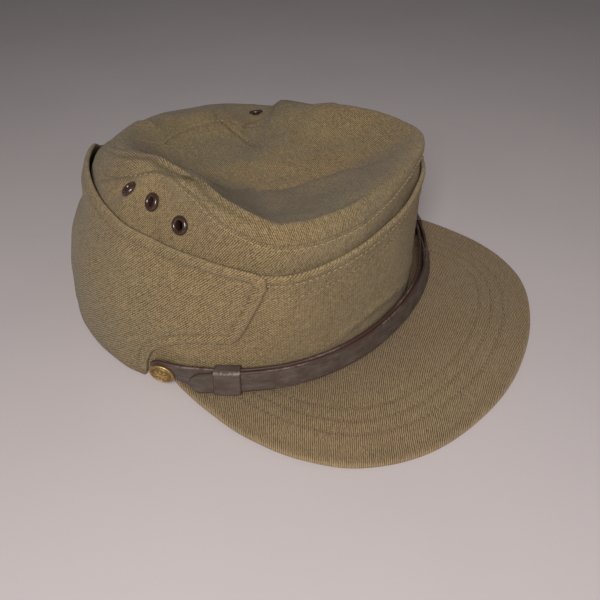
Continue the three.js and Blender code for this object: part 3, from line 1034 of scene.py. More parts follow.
@dataclass(frozen=True)
class Fold:
    """A fold in the cloth along a line of angles and stations, and the shade painted along it.

    A positive depth raises the cloth. The painted shade lies along the line, or outside it by dirt_before.
    """

    line: tuple[tuple[float, float], ...]
    width: float
    depth: float
    shape: FoldShape = FoldShape.RIDGE
    dirt: float = 0.0
    dirt_width: float = 0.8
    dirt_before: float = 0.0

    def _near(self, points: Array, form: CrownForm) -> tuple[Array, Array]:
        """How far points are from the fold's line.

        Args:
            points: points of the crown's surface.
            form: the crown that the fold's line is on.
        Returns:
            The distance, signed for a ledge, and a share that falls towards the fold's ends.
        """
        count = len(self.line)
        flat = read_along(np.array(self.line), np.arange(count), np.linspace(0, count - 1, 8 * count))
        line = form.point(*flat.T)
        away, place = near_line(points, line)
        if self.shape is FoldShape.LEDGE:
            away = away * form.inside(points, line, place)
        return away, np.sin(np.pi * np.clip(place, 0.02, 0.98)) ** 0.6

    def lift(self, points: Array, form: CrownForm) -> Array:
        """How far the fold raises each point of the crown's surface.

        Args:
            points: points of the surface.
            form: the crown that the fold's line is on.
        Returns:
            The lift along the normals, in millimetres.
        """
        away, fade = self._near(points, form)
        across = bell(away, self.width)
        if self.shape is FoldShape.CREASE:
            across = 0.25 * bell(away - 1.7 * self.width, self.width) - bell(away, 0.7 * self.width)
        elif self.shape is FoldShape.LEDGE:
            across = self._ledge(away)
        return self.depth * across * fade

    def stain(self, points: Array, form: CrownForm) -> Array:
        """How much shade the fold paints at each point of the crown's surface."""
        away, fade = self._near(points, form)
        return self.dirt * bell(away + self.dirt_before, self.dirt_width) * fade

    def _ledge(self, inside: Array) -> Array:
        """A roll that drops steeply past the fold's line.

        Args:
            inside: the distance from the line, above 0 on its inner side.
        Returns:
            The lift for a depth of 1.
        """
        roll = bell(inside, 2.2 * self.width)
        drop = 1 - 1.9 * step(inside, 0.0, self.width)
        hollow = -0.9 * bell(inside - self.width, 3.0 * self.width)
        return np.where(inside < 0, roll, np.where(inside < self.width, drop, hollow))


# The dent at the right rear that the wall and the flap share.
REAR_DENT = Fold(((-156, 0.6), (-140, 0.74), (-126, 0.76), (-108, 0.7)), 9.0, -4.0)


# Sub-assemblies


def spokes(normal: Array, turn: Array) -> Array:
    """Directions round an axis, at the given turns in radians."""
    across = unit(np.cross(normal, (0.0, 0.0, 1.0)))
    return np.cos(turn)[..., None] * across + np.sin(turn)[..., None] * np.cross(across, normal)


def lathe(
    name: str,
    profile: Array,
    point: Array,
    normal: Array,
    segments: int,
    material: bpy.types.Material,
) -> bpy.types.Object:
    """Makes a turned piece standing on a surface.

    Args:
        name: the piece's name.
        profile: rows of radius, height and trim value.
        point: where its axis meets the surface.
        normal: the axis.
        segments: how many steps round it.
        material: its finish.
    Returns:
        The piece.
    """
    ring = spokes(normal, np.linspace(0, math.tau, segments, endpoint=False))
    points = point + profile[:, 0, None, None] * ring + (profile[:, 1, None] * normal)[:, None]
    wide = np.linspace(0, math.tau * profile[:, 0].max(), segments + 1)
    weave = np.stack(np.meshgrid(wide, run_of(profile[:, :2])), -1)
    trim = np.stack([np.zeros(weave.shape[:2]), np.repeat(profile[:, 2:3], segments + 1, 1)], -1)
    maker = MeshMaker()
    maker.grid(points, weave, trim, looped=True)
    return maker.build(name, material)


@dataclass
class Crown:
    """The crown's wall and the soft tip that rolls over the rim into a dish."""

    form: CrownForm
    column_spans: tuple[tuple[float, float, int], ...] = (
        (-180, -130, 34),
        (-130, -35, 158),
        (-35, 60, 95),
        (60, 180, 73),
    )
    stitch_inset: float = 1.7
    groove_width: float = 0.6
    groove_depth: float = 0.22
    seam_sink: float = 1.5
    seam_zone: float = 4.0
    seam_dirt: float = 0.4
    pucker_depth: float = 0.05
    puff_inset: float = 1.4
    puff_depth: float = 0.08
    stitch_sink: float = 0.02
    stitch_sink_behind: float = 0.4
    broad_rumple: Rumple = Rumple(34.0, 3.1, 0.9)
    fine_rumple: Rumple = Rumple(13.0, 6.6, 0.25)
    rim_drop: float = 1.0
    flat_radius: float = 82.0
    folds: tuple[Fold, ...] = (
        # The lower crest at the right, the hollow over it and the upper crest, with a painted shadow line
        # along each crest.
        Fold(
            ((-122, 0.96), (-112, 0.99), (-98, 1.04), (-90, 1.11), (-77, 1.16), (-66, 1.66), (-55, 1.94)),
            width=1.1,
            depth=1.7,
            shape=FoldShape.LEDGE,
            dirt=1.0,
            dirt_width=0.7,
            dirt_before=0.8,
        ),
        Fold(((-118, 1.25), (-104, 1.25), (-90, 1.3), (-78, 1.45), (-68, 1.75)), 3.0, -1.2),
        Fold(
            ((-140, 1.7), (-125, 1.78), (-111, 1.81), (-93, 1.93))
            + ((-77, 1.87), (-66, 1.8), (-54, 1.9), (-40, 2.06)),
            width=1.6,
            depth=2.0,
            shape=FoldShape.LEDGE,
            dirt=1.0,
            dirt_width=1.0,
            dirt_before=2.6,
        ),
        # The valley across the dish, and painted shade on its near slope.
        Fold(
            ((-57, 2.2), (-52, 2.5), (-44, 2.8), (-32, 3.04))
            + ((-15, 3.05), (1, 3.04), (24, 2.94), (26, 2.42)),
            width=2.6,
            depth=-1.0,
        ),
        Fold(
            ((-72, 2.9), (-56, 2.6), (-44, 2.42), (-34, 2.38), (-22, 2.45), (-6, 2.6)),
            width=1.0,
            depth=0.0,
            dirt=0.55,
            dirt_width=13.0,
        ),
        REAR_DENT,
        # The roll in front of the valley, and the swell behind the flap.
        Fold(((-14, 2.76), (4, 2.76), (22, 2.66)), 8.0, 2.6),
        Fold(((-154, 1.0), (-140, 1.0), (-126, 0.98)), 6.0, 1.2),
        # The tuck that the right rear eyelet leans into.
        Fold(((-98, 0.86), (-92, 0.912), (-89, 0.938), (-85, 0.98)), 2.4, 1.1),
        Fold(((-104, 0.89), (-97.5, 0.942), (-94, 0.978), (-89, 1.02)), 2.4, -1.2),
        # Creases out of the dent at the left rear, with painted shade in them.
        Fold(
            ((154, 1.94), (153, 2.42), (145, 2.8), (136, 3.1), (100, 3.6)),
            width=1.4,
            depth=1.2,
            shape=FoldShape.CREASE,
            dirt=0.8,
        ),
        Fold(((127, 1.83), (136, 2.22), (139, 2.56)), 1.2, 1.1, FoldShape.CREASE, dirt=0.8),
        # Soft folds round the back.
        Fold(((-168, 1.5), (-168, 1.87), (-170, 2.3)), 3.0, 1.6),
        Fold(((-150, 1.25), (-158, 1.5), (-160, 1.95)), 4.0, -1.8),
        Fold(((178, 1.96), (170, 1.9), (158, 1.75)), 8.0, -2.0),
        Fold(((-140, 1.5), (-146, 1.71), (-150, 2.1)), 2.5, -1.2),
    )

    def _angles(self) -> Array:
        """The direction of each column; they are closest together round the folds at the right."""
        return np.concatenate([np.linspace(*span, endpoint=False) for span in self.column_spans])

    def lift(self, points: Array, station: Array) -> Array:
        """Folds and soft rumples over the crown, as a lift along its normals.

        Args:
            points: points of the plain surface.
            station: their stations.
        Returns:
            The lift, in millimetres.
        """
        lift = sum((fold.lift(points, self.form) for fold in self.folds), self._slope(points, station))
        soft = self.broad_rumple.lift(points) + self.fine_rumple.lift(points)
        return (lift + soft) * step(station, 0.2, 0.7)

    def _slope(self, points: Array, station: Array) -> Array:
        """What straightens the near slope from the rim down to the dip.

        Args:
            points: points of the plain surface.
            station: their stations.
        Returns:
            The lift, in millimetres.
        """
        across, along = points[..., 0], self.form.axis_y - points[..., 1]
        angle, radius = np.degrees(np.arctan2(across, along)), np.hypot(across, along)
        rim, dip = CROWN_TABLE.at("rim_radius", angle), CROWN_TABLE.at("dip_radius", angle)
        high = CROWN_TABLE.at("rim_height", angle) - self.rim_drop
        low = CROWN_TABLE.at("dip_height", angle)
        straight = high + (low - high) * (rim - radius) / (rim - dip)
        round_share = step(angle, -75, -50) * step(angle, 15, -25)
        across_share = step(station, 2.0, 2.16) * step(station, 3.0, 2.98)
        return (straight - points[..., 2]) * round_share * across_share

    def surface(self, angle: Array, station: Array) -> tuple[Array, Array]:
        """The crown's rumpled outer face, and the normals of its plain form.

        Args:
            angle: degrees round the crown.
            station: as for the form's points.
        Returns:
            The points and the normals.
        """
        points, normal = self.form.point(angle, station), self.form.normal(angle, station)
        station = np.broadcast_to(station, points.shape[:-1])
        return points + normal * self.lift(points, station)[..., None], normal

    def _stains(self, angle: Array, station: Array) -> Array:
        """Shade painted along the folds."""
        points = self.form.point(angle, station)
        return sum(fold.stain(points, self.form) for fold in self.folds if fold.dirt)

    def _trim(self, angle: Array, station: Array, reach: Array) -> Array:
        """The trim map: the distance from the seam, and the seam's dirt with the shade painted along the
        folds.
        """
        dirt = self.seam_dirt * bell(reach, 0.5) + self._stains(angle, station)
        return closed(np.stack([np.abs(reach) + 1.0, dirt], -1))

    @staticmethod
    def _seam_rows() -> Array:
        """Distances from the seam of the rows near it, from well inside a sheet to its hidden edge."""
        return np.concatenate([np.linspace(3.6, 1.2, 7), np.linspace(0.9, -0.9, 7), [-1.3, -1.8, -2.4]])

    def _sink(self, reach: Array) -> Array:
        """How far a sheet dips under the other one past the seam."""
        return step(reach, 0.5, -1.5) * self.seam_sink

    def _pucker(self, angle: Array, reach: Array) -> Array:
        """Small puckers along the seam."""
        around = np.radians(angle) * self.flat_radius
        return np.sin(around / 1.2 + 2.2 * np.sin(around / 7)) * bell(reach, 3.5) * self.pucker_depth

    def build_wall(self, finish: TwillFinish, holes: bpy.types.Object) -> bpy.types.Object:
        """Makes the wall.

        Args:
            finish: its cloth.
            holes: a piece to cut out of it, which is then removed.
        Returns:
            The wall.
        """
        angle = self._angles()
        course = Course(self.form, angle)
        share = np.concatenate([[0.0, 0.002, 0.006, 0.014], np.linspace(0.03, 0.95, 60)])[:, None]
        near = self._seam_rows()[:, None]
        length = np.concatenate([share / share[-1] * (course.seam - self.seam_zone), course.seam - near])
        station = course.stations(length)
        outer, normal = self.surface(angle[None], station)
        reach = course.seam - length
        groove = bell(reach - self.stitch_inset, self.groove_width) * self.groove_depth
        middle = outer - normal * (self.form.cloth / 2 + self._sink(reach))[..., None]
        edge = np.minimum(length, reach - near[-1])
        half = rounded(edge, self.form.cloth / 2, 0.9)
        middle[..., 2] = np.where(station < 0.02, np.maximum(middle[..., 2], 0.0), middle[..., 2])
        around = np.radians(np.append(angle, 180.0)) * self.flat_radius
        weave = np.stack(np.broadcast_arrays(around, closed(length)), -1)
        trim = self._trim(angle, station, reach)
        maker = MeshMaker()
        maker.sheet(middle, normal, half, self._pucker(angle, reach) - groove, weave, trim, looped=True)
        wall = maker.build("crown_wall", finish.material())
        cut = wall.modifiers.new("holes", "BOOLEAN")
        cut.object = holes
        cut.solver = "EXACT"
        bpy.context.view_layer.objects.active = wall
        bpy.ops.object.modifier_apply(modifier=cut.name)
        bpy.data.objects.remove(holes)
        return report(wall, "cloth", "crown_side")

    def build_tip(self, finish: TwillFinish) -> bpy.types.Object:
        """Makes the tip, from its seam over the rim to the middle of the dish.

        Args:
            finish: its cloth.
        Returns:
            The tip.
        """
        angle = self._angles()
        course = Course(self.form, angle)
        near = np.sort(self._seam_rows())[:, None]
        share = np.linspace(0.0, 1.0, 110)[1:, None] ** 1.3
        start = course.seam + near[-1]
        length = np.concatenate([course.seam + near, start + (course.total - start) * share])
        station = course.stations(length)
        outer, normal = self.surface(angle[None], station)
        reach = length - course.seam
        half = rounded(reach - near[0], self.form.cloth / 2, 0.75)
        middle = outer - normal * (self.form.cloth / 2 + self._sink(reach))[..., None]
        puff = self._pucker(angle, reach) + bell(reach - self.puff_inset, 1.0) * self.puff_depth
        flat = (course.total - length)[..., None]
        turn = np.radians(angle)
        weave = closed(flat * np.stack([np.sin(turn), -np.cos(turn)], -1))
        trim = self._trim(angle, station, reach)
        middle[-1], normal[-1] = middle[-1].mean(0), (0.0, 0.0, 1.0)
        maker = MeshMaker()
        maker.sheet(middle, normal, half, puff * step(flat[..., 0], 0.0, 4.0), weave, trim, looped=True)
        return report(maker.build("crown_top", finish.material()), "cloth", "crown_tip")

    def stitch(self, stitching: Stitching) -> None:
        """Lays the topstitch below the tip's seam.

        Args:
            stitching: what gathers the runs.
        """
        angle = np.linspace(-180, 180, 720)
        course = Course(self.form, angle)
        station = course.stations((course.seam - self.stitch_inset)[None])[0]
        points, normal = self.surface(angle, station)
        front = step(angle, -75, -60) * step(angle, 45, 35)
        sunk = self.stitch_sink + self.stitch_sink_behind * (1 - front)
        stitching.run(points - normal * sunk[:, None], normal)


@dataclass(frozen=True)
class EyeletPlace:
    """Where an eyelet sits on the crown, and how the cloth leans it."""

    node: str
    angle: float
    station: float
    lean: tuple[float, float, float] = (0.0, 0.0, 0.0)


@dataclass
class Eyelets:
    """The rolled vent eyelets."""

    crown: Crown
    diameter: float = 8.0
    hole: float = 3.8
    roll: float = 1.2
    lift: float = 0.3
    hole_ease: float = 0.4
    cut_reach: float = 6.0
    segments: int = 40
    places: tuple[EyeletPlace, ...] = (
        EyeletPlace("eyelet_right_front", -68.1, 0.858, (0.02, 0.0, 0.04)),
        EyeletPlace("eyelet_right_middle", -81.8, 0.888, (0.0, 0.3, 0.02)),
        EyeletPlace("eyelet_right_rear", -93.5, 0.945, (0.45, 0.4, 0.27)),
        EyeletPlace("eyelet_left_front", 68.0, 0.92),
        EyeletPlace("eyelet_left_middle", 90.0, 0.94),
        EyeletPlace("eyelet_left_rear", 130.0, 1.62, (0.35, 0.4, 0.0)),
    )

    def seat(self, place: EyeletPlace) -> tuple[Array, Array]:
        """The point that an eyelet sits on, and its axis."""
        point, normal = self.crown.surface(np.array(place.angle), np.array(place.station))
        return point, unit(normal + np.array(place.lean))

    def profile(self) -> Array:
        """The ring's outline, all the way round.

        Returns:
            Rows of radius, height, and how raised the ring is.
        """
        outer, inner = self.diameter / 2, self.hole / 2
        turn = np.linspace(-0.15, math.pi, 18)
        middle, half = (outer + inner) / 2, (outer - inner) / 2
        raised = np.sin(turn)
        rolled = np.stack([middle + half * np.cos(turn), self.lift + self.roll * raised, raised], -1)
        under = -self.crown.form.cloth
        neck = [(inner, -0.3, 0), (inner, under - 0.6, 0), (inner + 0.5, under - 1.1, 0)]
        flange = [(outer - 1.4, under - 1.2, 0), (outer - 1.2, under - 0.8, 0)]
        back = [(inner + 0.8, under - 0.3, 0), (inner + 0.8, -0.2, 0)]
        first = [(outer - 0.4, 0.0, 0)]
        return np.concatenate([first, rolled, neck, flange, back, first])

    def build(self, finish: PaintFinish) -> None:
        """Makes each eyelet.

        Args:
            finish: their paint.
        """
        material = finish.material()
        for place in self.places:
            point, normal = self.seat(place)
            piece = lathe(place.node + "_ring", self.profile(), point, normal, self.segments, material)
            report(piece, "eyelet_metal", place.node)

    def cutter(self) -> bpy.types.Object:
        """Makes what cuts the eyelets' holes out of the wall.

        Returns:
            The piece.
        """
        maker = MeshMaker()
        turn = np.linspace(0, math.tau, 24, endpoint=False)
        radius, reach = self.hole / 2 + self.hole_ease, self.cut_reach
        rows = [(0.0, -reach), (radius, -reach), (radius, reach), (0.0, reach)]
        for place in self.places:
            point, normal = self.seat(place)
            ring = spokes(normal, turn)
            points = np.stack([point + normal * height + ring * size for size, height in rows])
            flat = np.zeros((len(rows), len(turn) + 1, 2))
            maker.grid(points, flat, flat, looped=True)
        return maker.build("eyelet_holes", bpy.data.materials.new("eyelet_holes"))


@dataclass
class FrontBand:
    """The band round the front, with a hemmed top edge."""

    form: CrownForm
    end: float = 80.0
    foot: float = 0.8
    hem_inset: float = 4.6
    hem_puff: float = 0.45
    hem_sink: float = 0.2
    seam_inset: float = 12.0
    seam_sink: float = 0.34
    groove_depth: float = 0.35
    pucker_depth: float = 0.12
    stand: float = 1.1
    flat_radius: float = 88.0
    soft_rumple: Rumple = Rumple(30.0, 8.3, 0.45)
    folds: tuple[Fold, ...] = (
        Fold(((-24, 0.22), (-16, 0.31), (-6, 0.34), (5, 0.31), (22, 0.18)), 2.6, 1.1),
        Fold(((-19, 0.22), (-10, 0.25), (-1, 0.24), (14, 0.17)), 2.4, -0.8),
        Fold(((6, 0.42), (16, 0.34), (30, 0.22)), 2.6, 0.7),
    )

    def _surface(self, angle: Array, height: Array) -> tuple[Array, Array]:
        """The band's middle surface.

        Args:
            angle: degrees round the crown.
            height: height above the table.
        Returns:
            The points and the normals.
        """
        middle = self.form.gap + self.form.cloth / 2
        inset = BAND_TABLE.at("height", angle) - height
        stand = self.stand * step(inset, 14.0, 0.0) * bell(angle, 60.0)
        points = self.form.polar(angle, self.form.wall_radius(angle, height) + middle + stand, height)
        rise = self.form.wall_point(angle, height + 1) - self.form.wall_point(angle, height - 1)
        turn = self.form.wall_point(angle + 1, height) - self.form.wall_point(angle - 1, height)
        return points, unit(np.cross(turn, rise))

    def _lift(self, inset: Array, around: Array) -> Array:
        """The hem's puff, its stitch grooves and the seam's ridge.

        Args:
            inset: distance below the top edge.
            around: distance round the band.
        Returns:
            The lift, in millimetres.
        """
        from_hem, from_seam = inset - self.hem_inset, inset - self.seam_inset
        hem = bell(inset - 2.2, 1.6) * self.hem_puff - bell(from_hem, 0.7) * self.groove_depth
        seam = (bell(from_seam + 1.4, 1.2) - bell(from_seam, 0.8)) * self.groove_depth
        ripple = np.sin(around / 1.2 + 2 * np.sin(around / 8))
        return hem + seam + ripple * bell(from_hem, 2.5) * self.pucker_depth

    def _soft(self, points: Array, inset: Array) -> Array:
        """Soft rumples and wrinkles, which fade out towards the hem."""
        wrinkles = sum(fold.lift(points, self.form) for fold in self.folds)
        return (self.soft_rumple.lift(points) + wrinkles) * step(inset, 1.0, 14.0)

    def build(self, finish: TwillFinish) -> bpy.types.Object:
        """Makes the band.

        Args:
            finish: its cloth.
        Returns:
            The band.
        """
        angle = np.linspace(-self.end, self.end, 200)[None]
        share = eased(70, 0.018)[:, None]
        top = BAND_TABLE.at("height", angle)
        height = self.foot + (top - self.foot) * share
        points, normal = self._surface(angle, height)
        inset = top - height
        around = np.radians(angle) * self.flat_radius
        ends = np.radians(self.end - np.abs(angle)) * self.flat_radius
        edge = np.minimum(np.minimum(inset, height - self.foot), ends)
        lift = self._lift(inset, around) * step(edge, 0.0, 0.8)
        points = points + normal * self._soft(points, inset)[..., None]
        weave = np.stack(np.broadcast_arrays(around, height), -1)
        darkening = step(height, 9.0, 3.0) * 0.25
        trim = np.stack([edge, darkening], -1)
        maker = MeshMaker()
        maker.sheet(points, normal, rounded(edge, self.form.cloth / 2, 0.9), lift, weave, trim)
        return report(maker.build("band_cloth", finish.material()), "cloth", "front_band")

    def stitch(self, stitching: Stitching) -> None:
        """Lays the hem's and the seam's stitches.

        Args:
            stitching: what gathers the runs.
        """
        angle = np.linspace(-self.end + 2, self.end - 2, 400)
        for inset, sunk in ((self.hem_inset, self.hem_sink), (self.seam_inset, self.seam_sink)):
            points, normal = self._surface(angle, BAND_TABLE.at("height", angle) - inset)
            lift = self.form.cloth / 2 - sunk + self._soft(points, inset)
            stitching.run(points + normal * lift[:, None], normal)


@dataclass
class NeckFlap:
    """The flap turned up round the sides and the back."""

    form: CrownForm
    start: float = 42.0
    corner: float = 46.0
    fold_angle: float = 78.5
    hem_puff: float = 0.5
    groove_depth: float = 0.45
    pucker_depth: float = 0.14
    stitch_inset: float = 4.4
    stitch_sink: float = 0.25
    rest_height: float = 0.45
    flat_radius: float = 86.0
    long_rumple: Rumple = Rumple(30.0, 5.7, 1.0)
    fine_rumple: Rumple = Rumple(13.0, 1.9, 0.22)

    def _half(self, angle: Array) -> Array:
        """The angle from the front on either side."""
        return np.minimum(angle, 360 - angle)

    def lower(self, angle: Array) -> Array:
        """The lower edge's height."""
        return FLAP_TABLE.at("lower", self._half(angle))

    def upper(self, angle: Array) -> Array:
        """The top edge's height."""
        half = self._half(angle)
        return np.where(angle < 180, FLAP_TABLE.at("top_left", half), FLAP_TABLE.at("top_right", half))

    def _point(self, angle: Array, height: Array) -> Array:
        """The flap's plain middle surface.

        Args:
            angle: degrees from the front, from 0 to 360.
            height: height above the table.
        Returns:
            The points.
        """
        half = self._half(angle)
        low, high = self.lower(angle), self.upper(angle)
        share = np.clip((height - low) / (high - low), 0, 1)
        foot, middle, top = (FLAP_TABLE.at(name, half) for name in ("foot", "middle", "top"))
        bow = (middle - (foot + top) / 2) * 4 * share * (1 - share)
        stand = foot * (1 - share) + top * share + bow
        radius = self.form.wall_radius(angle, height) + stand + self.form.cloth / 2
        return self.form.polar(angle, radius, height)

    def _surface(self, angle: Array, height: Array) -> tuple[Array, Array]:
        """The flap's middle surface, with the rear dent.

        Args:
            angle: degrees from the front, from 0 to 360.
            height: height above the table.
        Returns:
            The points and the normals.
        """
        points = self._point(angle, height)
        rise = self._point(angle, height + 1) - points
        turn = self._point(angle + 0.5, height) - self._point(angle - 0.5, height)
        normal = unit(np.cross(turn, rise))
        return points + normal * REAR_DENT.lift(points, self.form)[..., None], normal

    def _rumples(self, points: Array) -> Array:
        """Soft wrinkles of the loose cloth."""
        stretched = points * np.array([0.6, 0.6, 1.7])
        return self.long_rumple.lift(stretched) + self.fine_rumple.lift(points)

    def outline(self) -> Array:
        """The stitched edge, laid flat.

        Returns:
            Points by the distance along the flap and the height.
        """
        lead = np.linspace(self.start, self.corner, 30)
        low = np.concatenate([lead, np.linspace(self.corner + 0.4, self.fold_angle - 0.5, 60)])
        high = np.linspace(self.start, 360 - self.start, 500)
        right = 360 - low
        line = [
            np.stack([low[::-1], self.lower(low[::-1])], -1),
            np.stack([high, self.upper(high)], -1),
            np.stack([right, self.lower(right)], -1),
        ]
        flat = np.concatenate(line)
        flat[:, 0] = np.radians(flat[:, 0]) * self.flat_radius
        return flat

    def build(self, finish: TwillFinish) -> bpy.types.Object:
        """Makes the flap.

        Args:
            finish: its cloth.
        Returns:
            The flap.
        """
        lead = np.linspace(self.start, self.corner, 26)
        front = np.linspace(self.corner + 0.4, self.fold_angle + 1.0, 70)
        near = np.concatenate([lead, front, np.linspace(80, 179, 90)])
        angle = np.concatenate([near, [180.0], 360 - near[::-1]])[None]
        share = eased(58, 0.014)[:, None]
        low, high = self.lower(angle), self.upper(angle)
        height = low + (high - low) * share
        points, normal = self._surface(angle, height)
        around = np.radians(angle) * self.flat_radius + 0 * height
        flat = np.stack([around, height], -1)
        hem, _ = near_line(flat, self.outline()[::2])
        edge = np.minimum(hem, np.maximum(height - low, 0))
        edge[:, 0] = 0
        edge[:, -1] = 0
        edge[0] = 0
        edge[-1] = 0
        soft = self._rumples(points) * step(hem, 0.0, 12.0)
        points = points + normal * soft[..., None]
        from_row = hem - self.stitch_inset
        puff = bell(hem - 2.2, 1.5) * self.hem_puff - bell(from_row, 0.75) * self.groove_depth
        ripple = np.sin((around + height) / 1.2 + 2 * np.sin(around / 9))
        lift = (puff + ripple * bell(from_row, 2.6) * self.pucker_depth) * step(edge, 0.0, 0.9)
        points[..., 2] = np.maximum(points[..., 2], self.rest_height)
        # Darker towards the table, and painted shade in the stitch groove.
        darkening = step(height, 10.0, 2.0) * 0.3 + bell(from_row, 0.6) * 0.35
        trim = np.stack([edge, darkening], -1)
        maker = MeshMaker()
        maker.sheet(points, normal, rounded(edge, self.form.cloth / 2, 0.95), lift, flat, trim)
        return report(maker.build("flap_cloth", finish.material()), "cloth", "neck_flap")

    def stitch(self, stitching: Stitching) -> None:
        """Lays the stitches inside the hemmed edge.

        Args:
            stitching: what gathers the runs.
        """
        outline = self.outline()
        along = unit(np.gradient(outline, axis=0))
        inward = np.stack([along[:, 1], -along[:, 0]], -1)
        line = outline + inward * self.stitch_inset
        away, _ = near_line(line, outline[::2])
        line = line[away > self.stitch_inset - 0.25]
        angle, height = np.degrees(line[:, 0] / self.flat_radius), line[:, 1]
        points, normal = self._surface(angle, height)
        soft = self._rumples(points) * step(self.stitch_inset, 0.0, 12.0)
        stitching.run(points + normal * (self.form.cloth / 2 + soft - self.stitch_sink)[:, None], normal)


@dataclass
class Peak:
    """The stiff peak with its rows of stitching."""

    form: CrownForm
    half_width: float = 92.6
    widest_y: float = -74.0
    length: float = 76.0
    back_length: float = 110.0
    skew: float = 2.5
    sweep: float = 111.0
    root_sweep: float = 68.0
    thickness: float = 2.6
    root_height: float = 2.9
    edge_height: float = 4.0
    arch: float = 4.2
    tuck: float = 1.0
    row_depth: float = 0.5
    stitch_sink: float = 0.22
    stitch_insets: tuple[float, ...] = (14.0, 20.0, 26.0)
    soft_rumple: Rumple = Rumple(34.0, 2.4, 0.35)

    def surface(self, u: Array, v: Array) -> Array:
        """The peak's middle surface.

        Args:
            u: across the peak, from -1 at the right corner to 1 at the left.
            v: from 0 at the root to 1 at the edge.
        Returns:
            The points.
        """
        u, v = np.broadcast_arrays(u, v)
        root_angle = u * self.root_sweep
        radius = self.form.wall_radius(root_angle, 0) + 2 * self.form.gap + self.form.cloth - self.tuck
        root = self.form.polar(root_angle, radius, np.full_like(radius, self.root_height))
        a = np.radians(u * self.sweep)
        length = np.where(np.cos(a) > 0, self.length, self.back_length)
        x = self.half_width * np.sin(a) + self.skew
        y = self.widest_y - length * np.cos(a) + self.form.axis_y
        away = unit(np.stack([length * np.sin(a), -self.half_width * np.cos(a)], -1))
        away = away * PEAK_TABLE.at("out", u * self.sweep)[..., None]
        edge = np.stack([x + away[..., 0], y + away[..., 1], np.full_like(y, self.edge_height)], -1)
        points = root + (edge - root) * v[..., None]
        bow = (4 * v * (1 - v)) ** 2 * np.cos(u * math.pi / 2) ** 2
        points[..., 2] += self.arch * bow - self.thickness / 2
        return points

    def _normal(self, u: Array, v: Array) -> Array:
        """The peak's upward normals.

        Args:
            u: as for surface.
            v: as for surface.
        Returns:
            The normals, of length 1.
        """
        small = 0.004
        across = self.surface(u + small, v) - self.surface(u - small, v)
        out = self.surface(u, v + small) - self.surface(u, v - small)
        normal = unit(np.cross(out, across))
        return normal * np.sign(normal[..., 2:3])

    def _insets(self, points: Array) -> tuple[Array, Array]:
        """How points lie against the peak's outer edge.

        Args:
            points: the points, in any shape.
        Returns:
            The distance from the edge, and the distance along it.
        """
        edge = self.surface(np.linspace(-1, 1, 240), np.array(1.0))
        away, place = near_line(points[..., :2], edge[:, :2])
        return away, place * run_of(edge)[-1]

    def build(self, finish: TwillFinish) -> bpy.types.Object:
        """Makes the peak.

        Args:
            finish: its cloth.
        Returns:
            The peak.
        """
        u = (2 * eased(370, 0.004) - 1)[None]
        v = eased(100, 0.016)[:, None]
        points, normal = self.surface(u, v), self._normal(u, v)
        inset, along = self._insets(points)
        root = np.linalg.norm(points - points[:1], axis=-1)
        right, left = (np.linalg.norm(points - points[:, [k]], axis=-1) for k in (0, -1))
        edge = np.minimum.reduce([inset, root, right, left])
        edge[0] = 0
        edge[-1] = 0
        dimple = 0.5 + 0.5 * np.cos(math.tau * along / Stitching.pitch)
        rows = sum(bell(inset - row, 0.8) for row in self.stitch_insets) * dimple
        lift = self.soft_rumple.lift(points) - self.row_depth * rows + 0.25 * bell(inset - 2.5, 2.0)
        lift = lift * step(edge, 0.0, 2.0)
        # Darker near the root, and painted shade in the stitch rows.
        darkening = bell(root, 7.0) * 0.25 + 0.6 * rows
        trim = np.stack([edge, darkening], -1)
        maker = MeshMaker()
        maker.sheet(points, normal, rounded(edge, self.thickness / 2, 1.3), lift, points[..., :2], trim)
        return report(maker.build("peak_cloth", finish.material()), "cloth", "peak")

    def stitch(self, stitching: Stitching) -> None:
        """Lays the rows of stitches that follow the peak's edge.

        Args:
            stitching: what gathers the runs.
        """
        u = np.linspace(-0.985, 0.985, 500)
        for row in self.stitch_insets:
            low, high = np.full(len(u), 0.02), np.full(len(u), 1.0)
            for _ in range(18):
                v = (low + high) / 2
                far = self._insets(self.surface(u, v))[0] > row
                low, high = np.where(far, v, low), np.where(far, high, v)
            keep = low > 0.06
            points, normal = self.surface(u, low)[keep], self._normal(u, low)[keep]
            lift = self.thickness / 2 + self.soft_rumple.lift(points) - self.stitch_sink
            stitching.run(points + normal * lift[:, None], normal)


